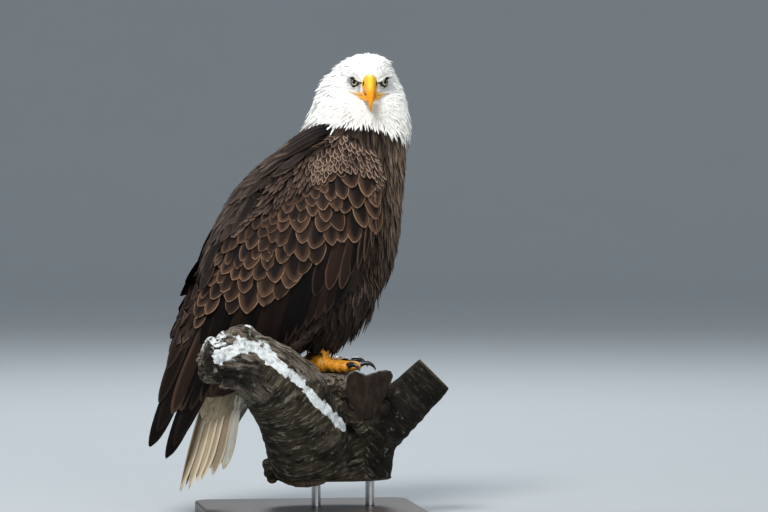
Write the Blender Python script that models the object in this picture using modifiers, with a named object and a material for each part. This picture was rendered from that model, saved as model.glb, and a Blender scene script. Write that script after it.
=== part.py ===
"""A bald eagle, life size, perched with its head turned to its right, on a short cut length
of a forked trunk that two rods carry over a flat display base.

Metres, +Z up. The body faces -Y and its right side is at -X. The origin is on the underside
of the base, at its middle. The bird's solids hold its coat: their surface is where the
feathers' tips lie.
"""

import math

import bmesh
import bpy
import numpy as np
from mathutils import Matrix, Vector

# Driving dimensions
GAP = 0.0004            # left between solids that meet
FACING = math.radians(-96)   # azimuth that the turned head looks towards, 0 being -Y
HEAD_PITCH = math.radians(8)  # the bill is carried this far below level
HEAD_CENTRE = Vector((0.0, -0.103, 0.763))   # between the eyes' level and the neck's axis
EYE_RADIUS = 0.0085
EYE_FORWARD, EYE_ASIDE, EYE_UP = 0.0445, 0.0232, 0.0022
BILL_BASE = 0.0625      # forward of the head's centre
BASE_SIZE = (0.32, 0.38, 0.018)
ROD_RADIUS = 0.008
PERCH_TOP = 0.254       # the level that the feet stand on
TRUNK_CUT = 0.066       # the sawn underside of the perch
FOOT_ASIDE, FOOT_Y = 0.047, -0.014
SIDES = {"right": -1, "left": 1}

# Level slices of the trunk: height, breast, back, half width
TRUNK = [
    (0.150, 0.140, 0.184, 0.014),
    (0.168, 0.124, 0.193, 0.030),
    (0.192, 0.106, 0.199, 0.044),
    (0.217, 0.088, 0.200, 0.055),
    (0.257, 0.052, 0.200, 0.070),
    (0.294, 0.008, 0.199, 0.083),
    (0.330, -0.052, 0.199, 0.095),
    (0.372, -0.108, 0.197, 0.106),
    (0.416, -0.140, 0.197, 0.115),
    (0.460, -0.153, 0.190, 0.121),
    (0.512, -0.160, 0.169, 0.123),
    (0.565, -0.164, 0.139, 0.117),
    (0.612, -0.168, 0.096, 0.104),
    (0.650, -0.172, 0.049, 0.088),
    (0.680, -0.171, 0.008, 0.074),
]
# Level slices of the neck, seen from where the head looks: height, near, far, left, right
NECK = [
    (0.625, -0.090, 0.090, -0.060, 0.168),
    (0.655, -0.084, 0.088, -0.036, 0.173),
    (0.680, -0.076, 0.084, -0.012, 0.176),
    (0.700, -0.066, 0.080, 0.000, 0.176),
    (0.720, -0.054, 0.076, 0.004, 0.174),
    (0.740, -0.038, 0.071, 0.009, 0.169),
    (0.760, -0.018, 0.063, 0.017, 0.161),
    (0.778, -0.002, 0.050, 0.031, 0.149),
    (0.792, 0.008, 0.036, 0.052, 0.132),
]
# Upright sections of the head: forward, aside, half width, top, bottom
HEAD = [
    (-0.064, -0.014, 0.018, 0.016, -0.024),
    (-0.054, -0.015, 0.042, 0.030, -0.048),
    (-0.034, -0.014, 0.060, 0.042, -0.066),
    (-0.008, -0.009, 0.062, 0.0465, -0.072),
    (0.014, -0.003, 0.052, 0.0465, -0.062),
    (0.032, 0.0, 0.0385, 0.0405, -0.049),
    (0.046, 0.0, 0.0290, 0.033, -0.038),
    (0.058, 0.0, 0.0215, 0.023, -0.031),
    (0.0655, 0.0, 0.0165, 0.016, -0.027),
]
# Level slices that the folded wings' outer faces lie on: height, middle, half depth, half width
WING_FACE = [
    (0.060, 0.255, 0.070, 0.036),
    (0.094, 0.245, 0.080, 0.041),
    (0.130, 0.222, 0.100, 0.050),
    (0.180, 0.185, 0.130, 0.063),
    (0.240, 0.140, 0.158, 0.081),
    (0.300, 0.095, 0.178, 0.101),
    (0.372, 0.052, 0.190, 0.123),
    (0.430, 0.034, 0.190, 0.134),
    (0.500, 0.008, 0.185, 0.139),
    (0.560, -0.010, 0.167, 0.133),
    (0.612, -0.030, 0.141, 0.117),
    (0.668, -0.052, 0.112, 0.092),
]
# The folded wing's front and back edges, from the shoulder to the wing tip: distance back, height
WING_FRONT = [
    (-0.048, 0.666), (-0.085, 0.652), (-0.107, 0.612), (-0.110, 0.560), (-0.102, 0.500),
    (-0.084, 0.430), (-0.056, 0.372), (-0.010, 0.330), (0.038, 0.290), (0.096, 0.235),
    (0.156, 0.182), (0.212, 0.132), (0.254, 0.096),
]
WING_BACK = [
    (-0.036, 0.668), (-0.006, 0.656), (0.042, 0.630), (0.088, 0.592), (0.127, 0.547),
    (0.161, 0.495), (0.187, 0.445), (0.208, 0.400), (0.228, 0.350), (0.243, 0.300),
    (0.260, 0.240), (0.271, 0.180), (0.276, 0.112),
]
WRIST_TO_PRIMARIES = 0.77     # share of the wing's length where the coverts' solid ends

UP = Vector((0, 0, 1))
FORWARD = Vector((math.sin(FACING), -math.cos(FACING), 0))
ASIDE = Vector((math.cos(FACING), math.sin(FACING), 0))


# ---------------------------------------------------------------- tools

def clear_scene():
    for obj in list(bpy.data.objects):
        bpy.data.objects.remove(obj)
    parts = bpy.data.collections.new("bald_eagle")
    cutters = bpy.data.collections.new("cutters")
    for collection in (parts, cutters):
        bpy.context.scene.collection.children.link(collection)
    return parts, cutters


def material(name, colour, roughness, metallic=0.0):
    made = bpy.data.materials.new(name)
    made.use_nodes = True
    shader = made.node_tree.nodes["Principled BSDF"]
    shader.inputs["Base Color"].default_value = (*colour, 1)
    shader.inputs["Roughness"].default_value = roughness
    shader.inputs["Metallic"].default_value = metallic
    made.diffuse_color = (*colour, 1)
    return made


def smooth_through(rows, key):
    """The row at key on a smooth curve through rows, whose first values rise."""
    rows = np.asarray(rows, float)
    at = rows[:, 0]
    key = min(max(key, at[0]), at[-1])
    slope = np.gradient(rows, at, axis=0)
    i = min(int(np.searchsorted(at, key, side="right")) - 1, len(at) - 2)
    step = at[i + 1] - at[i]
    t = (key - at[i]) / step
    return (
        rows[i] * (2 * t**3 - 3 * t**2 + 1)
        + slope[i] * step * (t**3 - 2 * t**2 + t)
        + rows[i + 1] * (3 * t**2 - 2 * t**3)
        + slope[i + 1] * step * (t**3 - t**2)
    )


def along(points, share):
    """The point at a share of a list's length, on a smooth curve through its points."""
    rows = [(i / (len(points) - 1), *p) for i, p in enumerate(points)]
    return smooth_through(rows, share)[1:]


def ring(centre, first, second, power=2.0, count=24):
    """A superellipse round centre, with half axes first and second."""
    points = []
    for k in range(count):
        angle = 2 * math.pi * k / count
        c, s = math.cos(angle), math.sin(angle)
        a = math.copysign(abs(c) ** (2 / power), c)
        b = math.copysign(abs(s) ** (2 / power), s)
        points.append(centre + first * a + second * b)
    return points


def finished(name, bm, collection, skin=None, smooth=40):
    bmesh.ops.recalc_face_normals(bm, faces=bm.faces)
    bmesh.ops.triangulate(bm, faces=bm.faces)
    mesh = bpy.data.meshes.new(name)
    bm.to_mesh(mesh)
    bm.free()
    obj = bpy.data.objects.new(name, mesh)
    collection.objects.link(obj)
    if collection is CUTTERS:
        obj.hide_render = True
        obj.display_type = "WIRE"
    if skin:
        mesh.materials.append(skin)
    mesh.shade_smooth()
    mesh.set_sharp_from_angle(angle=math.radians(smooth))
    return obj


def loft(name, rings, collection, skin=None):
    """One closed solid through rings of points, with a flat face at each end."""
    bm = bmesh.new()
    loops = []
    for points in rings:
        verts = [bm.verts.new(p) for p in points]
        loops.append([bm.edges.new((verts[i - 1], verts[i])) for i in range(len(verts))])
    for a, b in zip(loops, loops[1:]):
        bmesh.ops.bridge_loops(bm, edges=a + b)
    for loop in (loops[0], loops[-1]):
        bmesh.ops.contextual_create(bm, geom=loop)
    return finished(name, bm, collection, skin)


def evaluated_mesh(obj):
    bpy.context.view_layer.update()
    graph = bpy.context.evaluated_depsgraph_get()
    return bpy.data.meshes.new_from_object(obj.evaluated_get(graph))


def applied(obj):
    """Makes the object's modifiers real."""
    mesh = evaluated_mesh(obj)
    obj.modifiers.clear()
    old, obj.data = obj.data, mesh
    bpy.data.meshes.remove(old)
    mesh.name = obj.name
    return obj


def cut(obj, cutter):
    modifier = obj.modifiers.new("Cut", "BOOLEAN")
    modifier.object = cutter
    modifier.operation = "DIFFERENCE"
    modifier.solver = "EXACT"
    return applied(obj)


def moulded(obj, voxel, rounds, triangles):
    """Runs an object's overlapping solids into one soft form of about that many triangles."""
    remesh = obj.modifiers.new("Remesh", "REMESH")
    remesh.mode = "VOXEL"
    remesh.voxel_size = voxel
    soften = obj.modifiers.new("Smooth", "SMOOTH")
    soften.factor = 0.5
    soften.iterations = rounds
    applied(obj)
    fewer = obj.modifiers.new("Decimate", "DECIMATE")
    fewer.ratio = min(1.0, triangles / (2 * len(obj.data.polygons)))
    applied(obj)
    obj.data.shade_smooth()
    return obj


def merged(name, pieces, collection, skin=None):
    """One object that holds several pieces' meshes; the pieces are removed."""
    bm = bmesh.new()
    for piece in pieces:
        bm.from_mesh(piece.data)
        bpy.data.objects.remove(piece)
    return finished(name, bm, collection, skin)


def clearance(*objects):
    """A hidden cutter for each object, larger all over by the gap between solids."""
    made = []
    for obj in objects:
        bm = bmesh.new()
        bm.from_mesh(obj.data)
        bmesh.ops.recalc_face_normals(bm, faces=bm.faces)
        bm.normal_update()
        moves = [(v, v.normal * GAP) for v in bm.verts]
        for v, move in moves:
            v.co += move
        made.append(finished("clear_" + obj.name, bm, CUTTERS))
    return made


def carve(obj, *neighbours):
    for cutter in clearance(*neighbours):
        cut(obj, cutter)
    return obj


def half_space(point, normal, size=1.2):
    """A hidden box that fills one side of a plane: the side that normal points to."""
    bm = bmesh.new()
    turn = normal.to_track_quat("Z", "Y").to_matrix().to_4x4()
    place = Matrix.Translation(point) @ turn @ Matrix.Translation((0, 0, size / 2))
    bmesh.ops.create_cube(bm, size=size, matrix=place)
    return finished("half_space", bm, CUTTERS)


def parted(source, name, planes, skin):
    """The piece of source on the near side of each plane, half a gap short of it."""
    piece = bpy.data.objects.new(name, source.data.copy())
    PARTS.objects.link(piece)
    for point, normal in planes:
        cut(piece, half_space(point - normal * GAP / 2, normal))
    piece.data.materials.clear()
    piece.data.materials.append(skin)
    piece.data.shade_smooth()
    return piece


# ---------------------------------------------------------------- head, neck and trunk

def trunk_slices():
    rings = []
    for z in np.linspace(TRUNK[0][0], TRUNK[-1][0], 24):
        _, front, back, wide = smooth_through(TRUNK, z)
        centre = Vector((0, (front + back) / 2, z))
        rings.append(ring(centre, Vector((wide, 0, 0)), Vector((0, (back - front) / 2, 0)), 2.15, 32))
    return rings


def neck_slices():
    rings = []
    for z in np.linspace(NECK[0][0], NECK[-1][0], 12):
        _, near, far, left, right = smooth_through(NECK, z)
        centre = ASIDE * (left + right) / 2 - FORWARD * (near + far) / 2 + UP * z
        rings.append(ring(centre, ASIDE * (right - left) / 2, FORWARD * (far - near) / 2, 2.1, 32))
    return rings


def head_frame():
    """Head axes as a matrix: X forward, Y to the bird's left, Z up, pitched down."""
    axes = Matrix((FORWARD, ASIDE, UP)).transposed().to_4x4()
    return Matrix.Translation(HEAD_CENTRE) @ axes @ Matrix.Rotation(HEAD_PITCH, 4, "Y")


def head_sections():
    rings = []
    for forward in np.linspace(HEAD[0][0], HEAD[-1][0], 16):
        _, aside, wide, top, bottom = smooth_through(HEAD, forward)
        centre = Vector((forward, aside, (top + bottom) / 2))
        points = ring(centre, Vector((0, wide, 0)), Vector((0, 0, (top - bottom) / 2)), 2.2, 32)
        rings.append([head_frame() @ p for p in points])
    return rings


def make_body(white, brown):
    """Head, neck and trunk: one soft form, parted by thin cuts."""
    lofts = [
        loft("trunk_form", trunk_slices(), CUTTERS),
        loft("neck_form", neck_slices(), CUTTERS),
        loft("head_form", head_sections(), CUTTERS),
    ]
    whole = moulded(merged("body_form", lofts, CUTTERS), 0.0045, 6, 1560)
    head_cut = (head_frame() @ Vector((0, 0, -0.045)), Vector((0.12, -0.1, -1)).normalized())
    neck_cut = (Vector((0, -0.105, 0.660)), Vector((0, 0.16, -1)).normalized())
    head = parted(whole, "head", [head_cut], white)
    neck = parted(whole, "neck", [(head_cut[0], -head_cut[1]), neck_cut], white)
    trunk = parted(whole, "trunk", [(neck_cut[0], -neck_cut[1])], brown)
    return whole, head, neck, trunk


# ---------------------------------------------------------------- bill and eyes

def bill_rings(rows, count=12, power=2.2):
    """Rings between the upper and lower edges of a bill: forward and height of each, half width."""
    rings = []
    for top_f, top_z, low_f, low_z, wide in rows:
        top, low = Vector((top_f, 0, top_z)), Vector((low_f, 0, low_z))
        points = ring((top + low) / 2, Vector((0, wide, 0)), (top - low) / 2, power, count)
        rings.append([head_frame() @ p for p in points])
    return rings


def make_bill(wax, horn):
    start = BILL_BASE
    cere = [
        (start, 0.0165, start, -0.0165, 0.0150),
        (start + 0.008, 0.0185, start + 0.008, -0.0165, 0.0152),
        (start + 0.016, 0.0195, start + 0.016, -0.0160, 0.0142),
    ]
    tip = start + 0.016 + GAP
    upper = [
        (tip, 0.0195, tip, -0.0160, 0.0138),
        (tip + 0.009, 0.0185, tip + 0.007, -0.0158, 0.0122),
        (tip + 0.019, 0.0140, tip + 0.014, -0.0160, 0.0104),
        (tip + 0.0275, 0.0060, tip + 0.0195, -0.0175, 0.0086),
        (tip + 0.0335, -0.0045, tip + 0.0240, -0.0205, 0.0067),
        (tip + 0.0365, -0.0160, tip + 0.0275, -0.0245, 0.0048),
        (tip + 0.0365, -0.0270, tip + 0.0300, -0.0300, 0.0032),
        (tip + 0.0345, -0.0360, tip + 0.0312, -0.0355, 0.0018),
        (tip + 0.0330, -0.0400, tip + 0.0322, -0.0398, 0.0007),
    ]
    lower = [
        (start, -0.0172, start, -0.0295, 0.0130),
        (start + 0.016, -0.0165, start + 0.014, -0.0285, 0.0112),
        (start + 0.027, -0.0168, start + 0.025, -0.0270, 0.0088),
        (start + 0.034, -0.0188, start + 0.033, -0.0245, 0.0062),
        (start + 0.038, -0.0210, start + 0.0375, -0.0228, 0.0030),
    ]
    return [
        loft("cere", bill_rings(cere), PARTS, wax),
        loft("bill_upper", bill_rings(upper), PARTS, horn),
        loft("bill_lower", bill_rings(lower, 10), PARTS, horn),
    ]


def make_eyes(glassy):
    eyes = []
    for side, sign in SIDES.items():
        bm = bmesh.new()
        place = head_frame() @ Vector((EYE_FORWARD, EYE_ASIDE * sign, EYE_UP))
        matrix = Matrix.Translation(place)
        bmesh.ops.create_uvsphere(bm, u_segments=12, v_segments=7, radius=EYE_RADIUS, matrix=matrix)
        eyes.append(finished("eye_" + side, bm, PARTS, glassy))
    return eyes


# ---------------------------------------------------------------- wings and tail

def wing_point(share, across, sign, depth):
    """A point of the folded wing: share of its length, from front edge 0 to back edge 1."""
    front, back = along(WING_FRONT, share), along(WING_BACK, share)
    y, z = front + (back - front) * across
    _, middle, deep, wide = smooth_through(WING_FACE, z)
    off = min(abs(y - middle) / deep, 0.96)
    return Vector((sign * (wide * (1 - off**2.1) ** (1 / 2.1) - depth), y, z))


def wing_sheet(name, sign, begin, end, depths, tip, rows, skin):
    """A lens-shaped shell on the wing's outer face. Its end is drawn in to a rounded tip."""
    steps = 6
    rings = []
    for share in np.linspace(begin, end, rows):
        t = (share - begin) / (end - begin)
        narrow = (1 - max(0.0, (t - 1 + tip) / tip) ** 2.5) if tip else 1.0
        thick, rim = depths[0] + (depths[1] - depths[0]) * t, 0.0022
        outer, inner = [], []
        for k in range(steps + 1):
            across = 0.5 + (k / steps - 0.5) * max(narrow, 0.12)
            bulge = math.sin(math.pi * k / steps) ** 0.5
            outer.append(wing_point(share, across, sign, rim * (1 - bulge)))
            inner.append(wing_point(share, across, sign, rim * 2 + thick * bulge))
        rings.append(outer + inner[::-1])
    return loft(name, rings, PARTS, skin)


def make_wings(brown, black):
    made = {}
    for side, sign in SIDES.items():
        made["wing_" + side] = wing_sheet(
            "wing_" + side, sign, 0.0, WRIST_TO_PRIMARIES, (0.024, 0.012), 0, 15, brown)
        made["primaries_" + side] = wing_sheet(
            "primaries_" + side, sign, WRIST_TO_PRIMARIES + 0.002, 1.0, (0.010, 0.003), 0.30, 7, black)
    return made


def tail_point(fan, length, layer):
    """A point of the tented tail: fan from -1 to 1 across it, share of its length."""
    ridge = Vector((0, 0.184, 0.222)).lerp(Vector((0, 0.236, 0.040)), length)
    edge = Vector((0.036, 0.122, 0.196)).lerp(Vector((0.054, 0.164, 0.066)), length)
    side = abs(fan)
    inward = Vector((-0.45, -0.9, 0)) * min(side * 4, 1) + Vector((0, -1, 0)) * (1 - min(side * 4, 1))
    point = ridge.lerp(edge, side) + inward * layer
    bow = 0.010 * math.sin(math.pi * side)
    return Vector((math.copysign(point.x + bow, fan) if fan else 0, point.y + bow * 0.4, point.z))


def make_tail(white):
    feathers, steps, rows = 12, 2, 3
    columns = feathers * steps
    rings = []
    for i in range(rows + 1):
        outer, inner = [], []
        for k in range(columns + 1):
            fan = 2 * k / columns - 1
            notch = 1 if k % steps else 0.965
            length = (1 - 0.035 * abs(fan) ** 2) * notch * i / rows
            outer.append(tail_point(fan, length, 0))
            inner.append(tail_point(fan, length, 0.006))
        rings.append(outer + inner[::-1])
    return loft("tail", rings, PARTS, white)


# ---------------------------------------------------------------- legs and feet

def make_thigh(side, sign, brown):
    """The feathered trouser leg: height, middle, half depth, half width, distance aside."""
    rows = [
        (0.290, -0.018, 0.019, 0.016, 0.047),
        (0.296, -0.019, 0.027, 0.022, 0.047),
        (0.306, -0.022, 0.037, 0.029, 0.048),
        (0.318, -0.026, 0.047, 0.034, 0.051),
        (0.342, -0.034, 0.059, 0.041, 0.055),
        (0.372, -0.042, 0.068, 0.046, 0.059),
        (0.405, -0.047, 0.068, 0.046, 0.061),
        (0.440, -0.046, 0.052, 0.034, 0.060),
    ]
    rings = []
    for z in np.linspace(rows[0][0], rows[-1][0], 10):
        _, middle, deep, wide, aside = smooth_through(rows, z)
        centre = Vector((sign * aside, middle, z))
        rings.append(ring(centre, Vector((wide, 0, 0)), Vector((0, deep, 0)), 2.0, 18))
    return loft("thigh_" + side, rings, PARTS, brown)


def tube(path, radii, count=10):
    """Rings along a path of points, square to it, with a radius at each."""
    rings = []
    for i, point in enumerate(path):
        heading = (path[min(i + 1, len(path) - 1)] - path[max(i - 1, 0)]).normalized()
        across = heading.cross(UP)
        across = across.normalized() if across.length > 1e-3 else Vector((1, 0, 0))
        rings.append(ring(point, across * radii[i], across.cross(heading) * radii[i], 2.0, count))
    return rings


# Toes: heading in degrees from straight ahead (outwards is positive), length, claw's arc radius
TOES = {1: (176, 0.040, 0.0205), 2: (-30, 0.047, 0.0200), 3: (3, 0.062, 0.0185), 4: (42, 0.052, 0.0160)}
TOE_RADII = (0.0105, 0.0088, 0.0092, 0.0080, 0.0068)
CLAW_START, CLAW_TURN = math.radians(38), math.radians(112)


def toe_heading(sign, degrees):
    angle = math.radians(degrees)
    return Vector((sign * math.sin(angle), -math.cos(angle), 0))


def toe_path(side, number):
    """Centre line of a toe, from the middle of the foot to the claw."""
    sign = SIDES[side]
    degrees, length, _ = TOES[number]
    heading = toe_heading(sign, degrees)
    middle = Vector((sign * FOOT_ASIDE, FOOT_Y, PERCH_TOP))
    heights = (0.0185, 0.0150, 0.0128, 0.0115, 0.0118)
    return [middle + heading * length * i / 4 + UP * heights[i] for i in range(5)]


def make_talon(side, number, black):
    """A claw: a tapering horn on an arc that rises from the toe and bends down."""
    sign = SIDES[side]
    degrees, _, bend = TOES[number]
    heading = toe_heading(sign, degrees)
    start = toe_path(side, number)[-1] + heading * (TOE_RADII[-1] * 0.55 + GAP)
    path, radii = [], []
    steps = 6
    for i in range(steps + 1):
        t = i / steps
        angle = CLAW_START - CLAW_TURN * t
        ahead = bend * (math.sin(CLAW_START) - math.sin(angle))
        rise = bend * (math.cos(angle) - math.cos(CLAW_START))
        path.append(start + heading * ahead + UP * (rise + 0.0015))
        radii.append(0.0052 * (1 - t) ** 0.75 + 0.0006)
    return loft(f"talon_{side}_{number}", tube(path, radii, 7), PARTS, black)


def make_foot(side, yellow):
    """Four toes and the pad that joins them, run together into one soft form."""
    pieces = []
    for number in TOES:
        path = toe_path(side, number)
        end = path[-1] + (path[-1] - path[-2]).normalized() * TOE_RADII[-1] * 0.5
        pieces.append(loft("toe_form", tube(path + [end], [*TOE_RADII, TOE_RADII[-1] * 0.75], 12), CUTTERS))
    bm = bmesh.new()
    place = Matrix.Translation((SIDES[side] * FOOT_ASIDE, FOOT_Y, PERCH_TOP + 0.017))
    squash = Matrix.Diagonal((0.0155, 0.0185, 0.0155, 1))
    bmesh.ops.create_uvsphere(bm, u_segments=20, v_segments=12, radius=1.0, matrix=place @ squash)
    pieces.append(finished("pad_form", bm, CUTTERS))
    foot = moulded(merged("foot_" + side, pieces, PARTS, yellow), 0.0018, 2, 270)
    foot.data.materials.clear()
    foot.data.materials.append(yellow)
    return foot


def make_shank(side, sign, yellow):
    """The bare lower end of the leg, from the foot's pad to the trousers' hem."""
    low, high = PERCH_TOP + 0.018, 0.290 - GAP
    rings = []
    for z, radius in ((low, 0.0120), ((low + high) / 2, 0.0105), (high, 0.0110)):
        centre = Vector((sign * FOOT_ASIDE, FOOT_Y - 0.004 * (z - low) / (high - low), z))
        rings.append(ring(centre, Vector((radius, 0, 0)), Vector((0, radius, 0)), 2.0, 14))
    return loft("shank_" + side, rings, PARTS, yellow)


# ---------------------------------------------------------------- perch and stand

# The stub's flat face in the fork, a notched plate: distance back and height of its corners
SNAG_FACE = [
    (-0.129, 0.252), (-0.125, 0.261), (-0.115, 0.264), (-0.104, 0.263), (-0.093, 0.258), (-0.080, 0.253),
    (-0.072, 0.259), (-0.063, 0.263), (-0.053, 0.260), (-0.045, 0.250), (-0.044, 0.228), (-0.052, 0.205),
    (-0.070, 0.186), (-0.092, 0.180), (-0.108, 0.204), (-0.119, 0.228),
]


def snag_rings():
    """The stub from inside the trunk out to its face. Behind the face its top drops clear of the claws."""
    rings = []
    for x, top, share in ((-0.060, 0.240, 0.80), (-0.088, 0.246, 0.90), (-0.110, 0.258, 0.97), (-0.129, 0.270, 1.0)):
        middle = (-0.087, 0.224)
        points = [(middle[0] + (y - middle[0]) * share, middle[1] + (z - middle[1]) * share) for y, z in SNAG_FACE]
        rings.append([Vector((x, y, min(z, top))) for y, z in points])
    return rings


def make_perch(bark, sawn):
    """The cut length of the forked trunk, as the pieces that run together in it."""
    stem_rows = [
        (TRUNK_CUT, -0.036, 0.106, 0.078), (0.110, -0.038, 0.110, 0.084),
        (0.160, -0.036, 0.106, 0.092), (0.210, -0.032, 0.092, 0.098),
        (0.237, -0.029, 0.080, 0.098), (0.249, -0.027, 0.068, 0.088), (PERCH_TOP, -0.025, 0.052, 0.072),
    ]
    rings = []
    for z, middle, deep, wide in stem_rows:
        rings.append(ring(Vector((0, middle, z)), Vector((wide, 0, 0)), Vector((0, deep, 0)), 2.5, 22))
    stem = loft("perch_trunk", rings, PARTS, bark)
    limb_path = [
        Vector((-0.070, 0.006, 0.104)), Vector((-0.112, 0.026, 0.160)), Vector((-0.144, 0.056, 0.222)),
        Vector((-0.168, 0.094, 0.262)), Vector((-0.180, 0.130, 0.281)), Vector((-0.186, 0.164, 0.285)),
        Vector((-0.188, 0.192, 0.284)), Vector((-0.190, 0.209, 0.276)),
    ]
    limb_radii = [0.070, 0.074, 0.071, 0.061, 0.053, 0.048, 0.040, 0.022]
    limb = loft("perch_limb", tube(limb_path, limb_radii, 18), PARTS, bark)
    fork_path = [
        Vector((-0.025, -0.070, 0.118)), Vector((-0.028, -0.112, 0.150)),
        Vector((-0.032, -0.160, 0.196)), Vector((-0.036, -0.214, 0.250)),
    ]
    fork = loft("perch_fork", tube(fork_path, [0.052, 0.050, 0.042, 0.037], 18), PARTS, bark)
    snag = loft("perch_snag", snag_rings(), PARTS, sawn)
    carve(limb, stem)
    carve(fork, stem, limb)
    carve(snag, stem, limb, fork)
    return [stem, limb, fork, snag]


def make_stand(wood, steel, stem):
    bm = bmesh.new()
    size = Matrix.Diagonal((*BASE_SIZE, 1))
    bmesh.ops.create_cube(bm, size=1, matrix=Matrix.Translation((0, 0, BASE_SIZE[2] / 2)) @ size)
    upright = [e for e in bm.edges if abs(e.verts[0].co.z - e.verts[1].co.z) > BASE_SIZE[2] / 2]
    bmesh.ops.bevel(bm, geom=upright, offset=0.030, segments=4, profile=0.5, affect="EDGES", material=-1)
    rim = [e for e in bm.edges if all(v.co.z > BASE_SIZE[2] * 0.9 for v in e.verts)]
    bmesh.ops.bevel(bm, geom=rim, offset=0.003, segments=2, profile=0.5, affect="EDGES", material=-1)
    base = finished("stand_base", bm, PARTS, wood, 30)
    for name, y in (("stand_rod_front", -0.105), ("stand_rod_back", -0.010)):
        bm = bmesh.new()
        low, high = BASE_SIZE[2] + GAP, TRUNK_CUT + 0.030
        bmesh.ops.create_cone(
            bm, cap_ends=True, segments=24, radius1=ROD_RADIUS, radius2=ROD_RADIUS, depth=high - low,
            matrix=Matrix.Translation((0, y, (low + high) / 2)))
        rod = finished(name, bm, PARTS, steel, 30)
        carve(stem, rod)
    return base


# ---------------------------------------------------------------- the object

def build():
    white = material("white_plumage", (0.86, 0.85, 0.82), 0.8)
    brown = material("brown_plumage", (0.075, 0.052, 0.038), 0.75)
    black = material("flight_feathers", (0.030, 0.024, 0.021), 0.6)
    yellow = material("yellow_skin", (0.85, 0.42, 0.03), 0.5)
    horn = material("bill_horn", (0.90, 0.50, 0.03), 0.35)
    claw = material("claw_horn", (0.020, 0.020, 0.024), 0.3)
    glassy = material("eye", (0.75, 0.68, 0.42), 0.08)
    bark = material("bark", (0.22, 0.19, 0.15), 0.9)
    sawn = material("sawn_wood", (0.20, 0.12, 0.075), 0.75)
    wood = material("stand_wood", (0.045, 0.034, 0.028), 0.45)
    steel = material("stand_steel", (0.55, 0.55, 0.56), 0.3, 1.0)

    whole, head, neck, trunk = make_body(white, brown)
    bill = make_bill(yellow, horn)
    eyes = make_eyes(glassy)
    carve(head, *eyes, *bill)
    wings = make_wings(brown, black)
    for piece in wings.values():
        carve(piece, whole)
    tail = carve(make_tail(white), whole, *wings.values())
    low_parts = [*wings.values(), tail]
    for side, sign in SIDES.items():
        thigh = carve(make_thigh(side, sign, brown), whole, wings["wing_" + side])
        shank = make_shank(side, sign, yellow)
        foot = carve(make_foot(side, yellow), shank)
        talons = [make_talon(side, number, claw) for number in TOES]
        carve(foot, *talons)
        low_parts += [thigh, shank, foot, *talons]
    perch = make_perch(bark, sawn)
    for piece in perch:
        carve(piece, *low_parts)
    make_stand(wood, steel, perch[0])


PARTS, CUTTERS = clear_scene()
build()
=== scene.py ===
"""Looks of the bald eagle: skin, eyes, bill, feet, feathers, perch, stand and studio."""
import math
import bmesh
import bpy
import numpy as np
from mathutils import Matrix, Vector
from mathutils.bvhtree import BVHTree


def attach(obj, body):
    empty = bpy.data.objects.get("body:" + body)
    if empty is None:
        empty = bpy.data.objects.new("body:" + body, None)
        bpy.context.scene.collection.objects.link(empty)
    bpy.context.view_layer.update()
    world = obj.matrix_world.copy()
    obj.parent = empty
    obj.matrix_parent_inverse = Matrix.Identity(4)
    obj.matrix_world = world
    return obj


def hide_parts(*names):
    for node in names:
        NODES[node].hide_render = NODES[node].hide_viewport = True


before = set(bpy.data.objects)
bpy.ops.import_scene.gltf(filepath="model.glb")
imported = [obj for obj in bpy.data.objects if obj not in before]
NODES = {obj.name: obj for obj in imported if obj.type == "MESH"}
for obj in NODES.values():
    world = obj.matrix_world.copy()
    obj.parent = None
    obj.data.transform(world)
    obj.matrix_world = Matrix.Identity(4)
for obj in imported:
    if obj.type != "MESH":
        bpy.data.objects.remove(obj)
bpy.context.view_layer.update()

RNG = np.random.default_rng(11)

# The head's place, as in the solids
FACING = math.radians(-96)
HEAD_PITCH = math.radians(8)
HEAD_CENTRE = Vector((0.0, -0.103, 0.763))
EYE = Vector((0.0445, 0.0232, 0.0022))
EYE_RADIUS = 0.0085
BILL_BASE = 0.0625
PERCH_TOP = 0.254
FOOT_ASIDE, FOOT_Y = 0.047, -0.014
# Above this height is the head, and forward of this in head coordinates its face
HEAD_Z = 0.69
FACE_FRONT = 0.03
# Sizes of the cells that join overlapping solids into one surface
SKIN_VOXEL = 0.0036
PERCH_VOXEL = 0.0029
FOOT_VOXEL = 0.0010
SIDES = {"right": -1, "left": 1}
FORWARD = Vector((math.sin(FACING), -math.cos(FACING), 0))
ASIDE = Vector((math.cos(FACING), math.sin(FACING), 0))
UP = Vector((0, 0, 1))

# Linear colours
WHITE = (0.88, 0.875, 0.855)
CREAM = (0.32, 0.25, 0.165)
BROWN = (0.046, 0.030, 0.024)
DARK = (0.0095, 0.0065, 0.0060)
BLACK = (0.0050, 0.0040, 0.0038)
GREY_BROWN = (0.050, 0.037, 0.032)
TAWNY = (0.30, 0.185, 0.120)


# ---------------------------------------------------------------- number helpers

def smooth_through(rows, keys):
    """The rows at keys on smooth curves through rows, whose first values rise."""
    rows = np.asarray(rows, float)
    at, rest = rows[:, 0], rows[:, 1:]
    keys = np.clip(keys, at[0], at[-1])
    slope = np.gradient(rest, at, axis=0)
    i = np.clip(np.searchsorted(at, keys, side="right") - 1, 0, len(at) - 2)
    step = (at[i + 1] - at[i])[..., None]
    t = (keys - at[i])[..., None] / step
    return (
        rest[i] * (2 * t**3 - 3 * t**2 + 1) + slope[i] * step * (t**3 - 2 * t**2 + t)
        + rest[i + 1] * (3 * t**2 - 2 * t**3) + slope[i + 1] * step * (t**3 - t**2)
    )


def ramp(value, low, high):
    """0 below low, 1 above high, and smooth between; low may be the larger."""
    t = np.clip((np.asarray(value, float) - low) / (high - low), 0, 1)
    return t * t * (3 - 2 * t)


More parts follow.
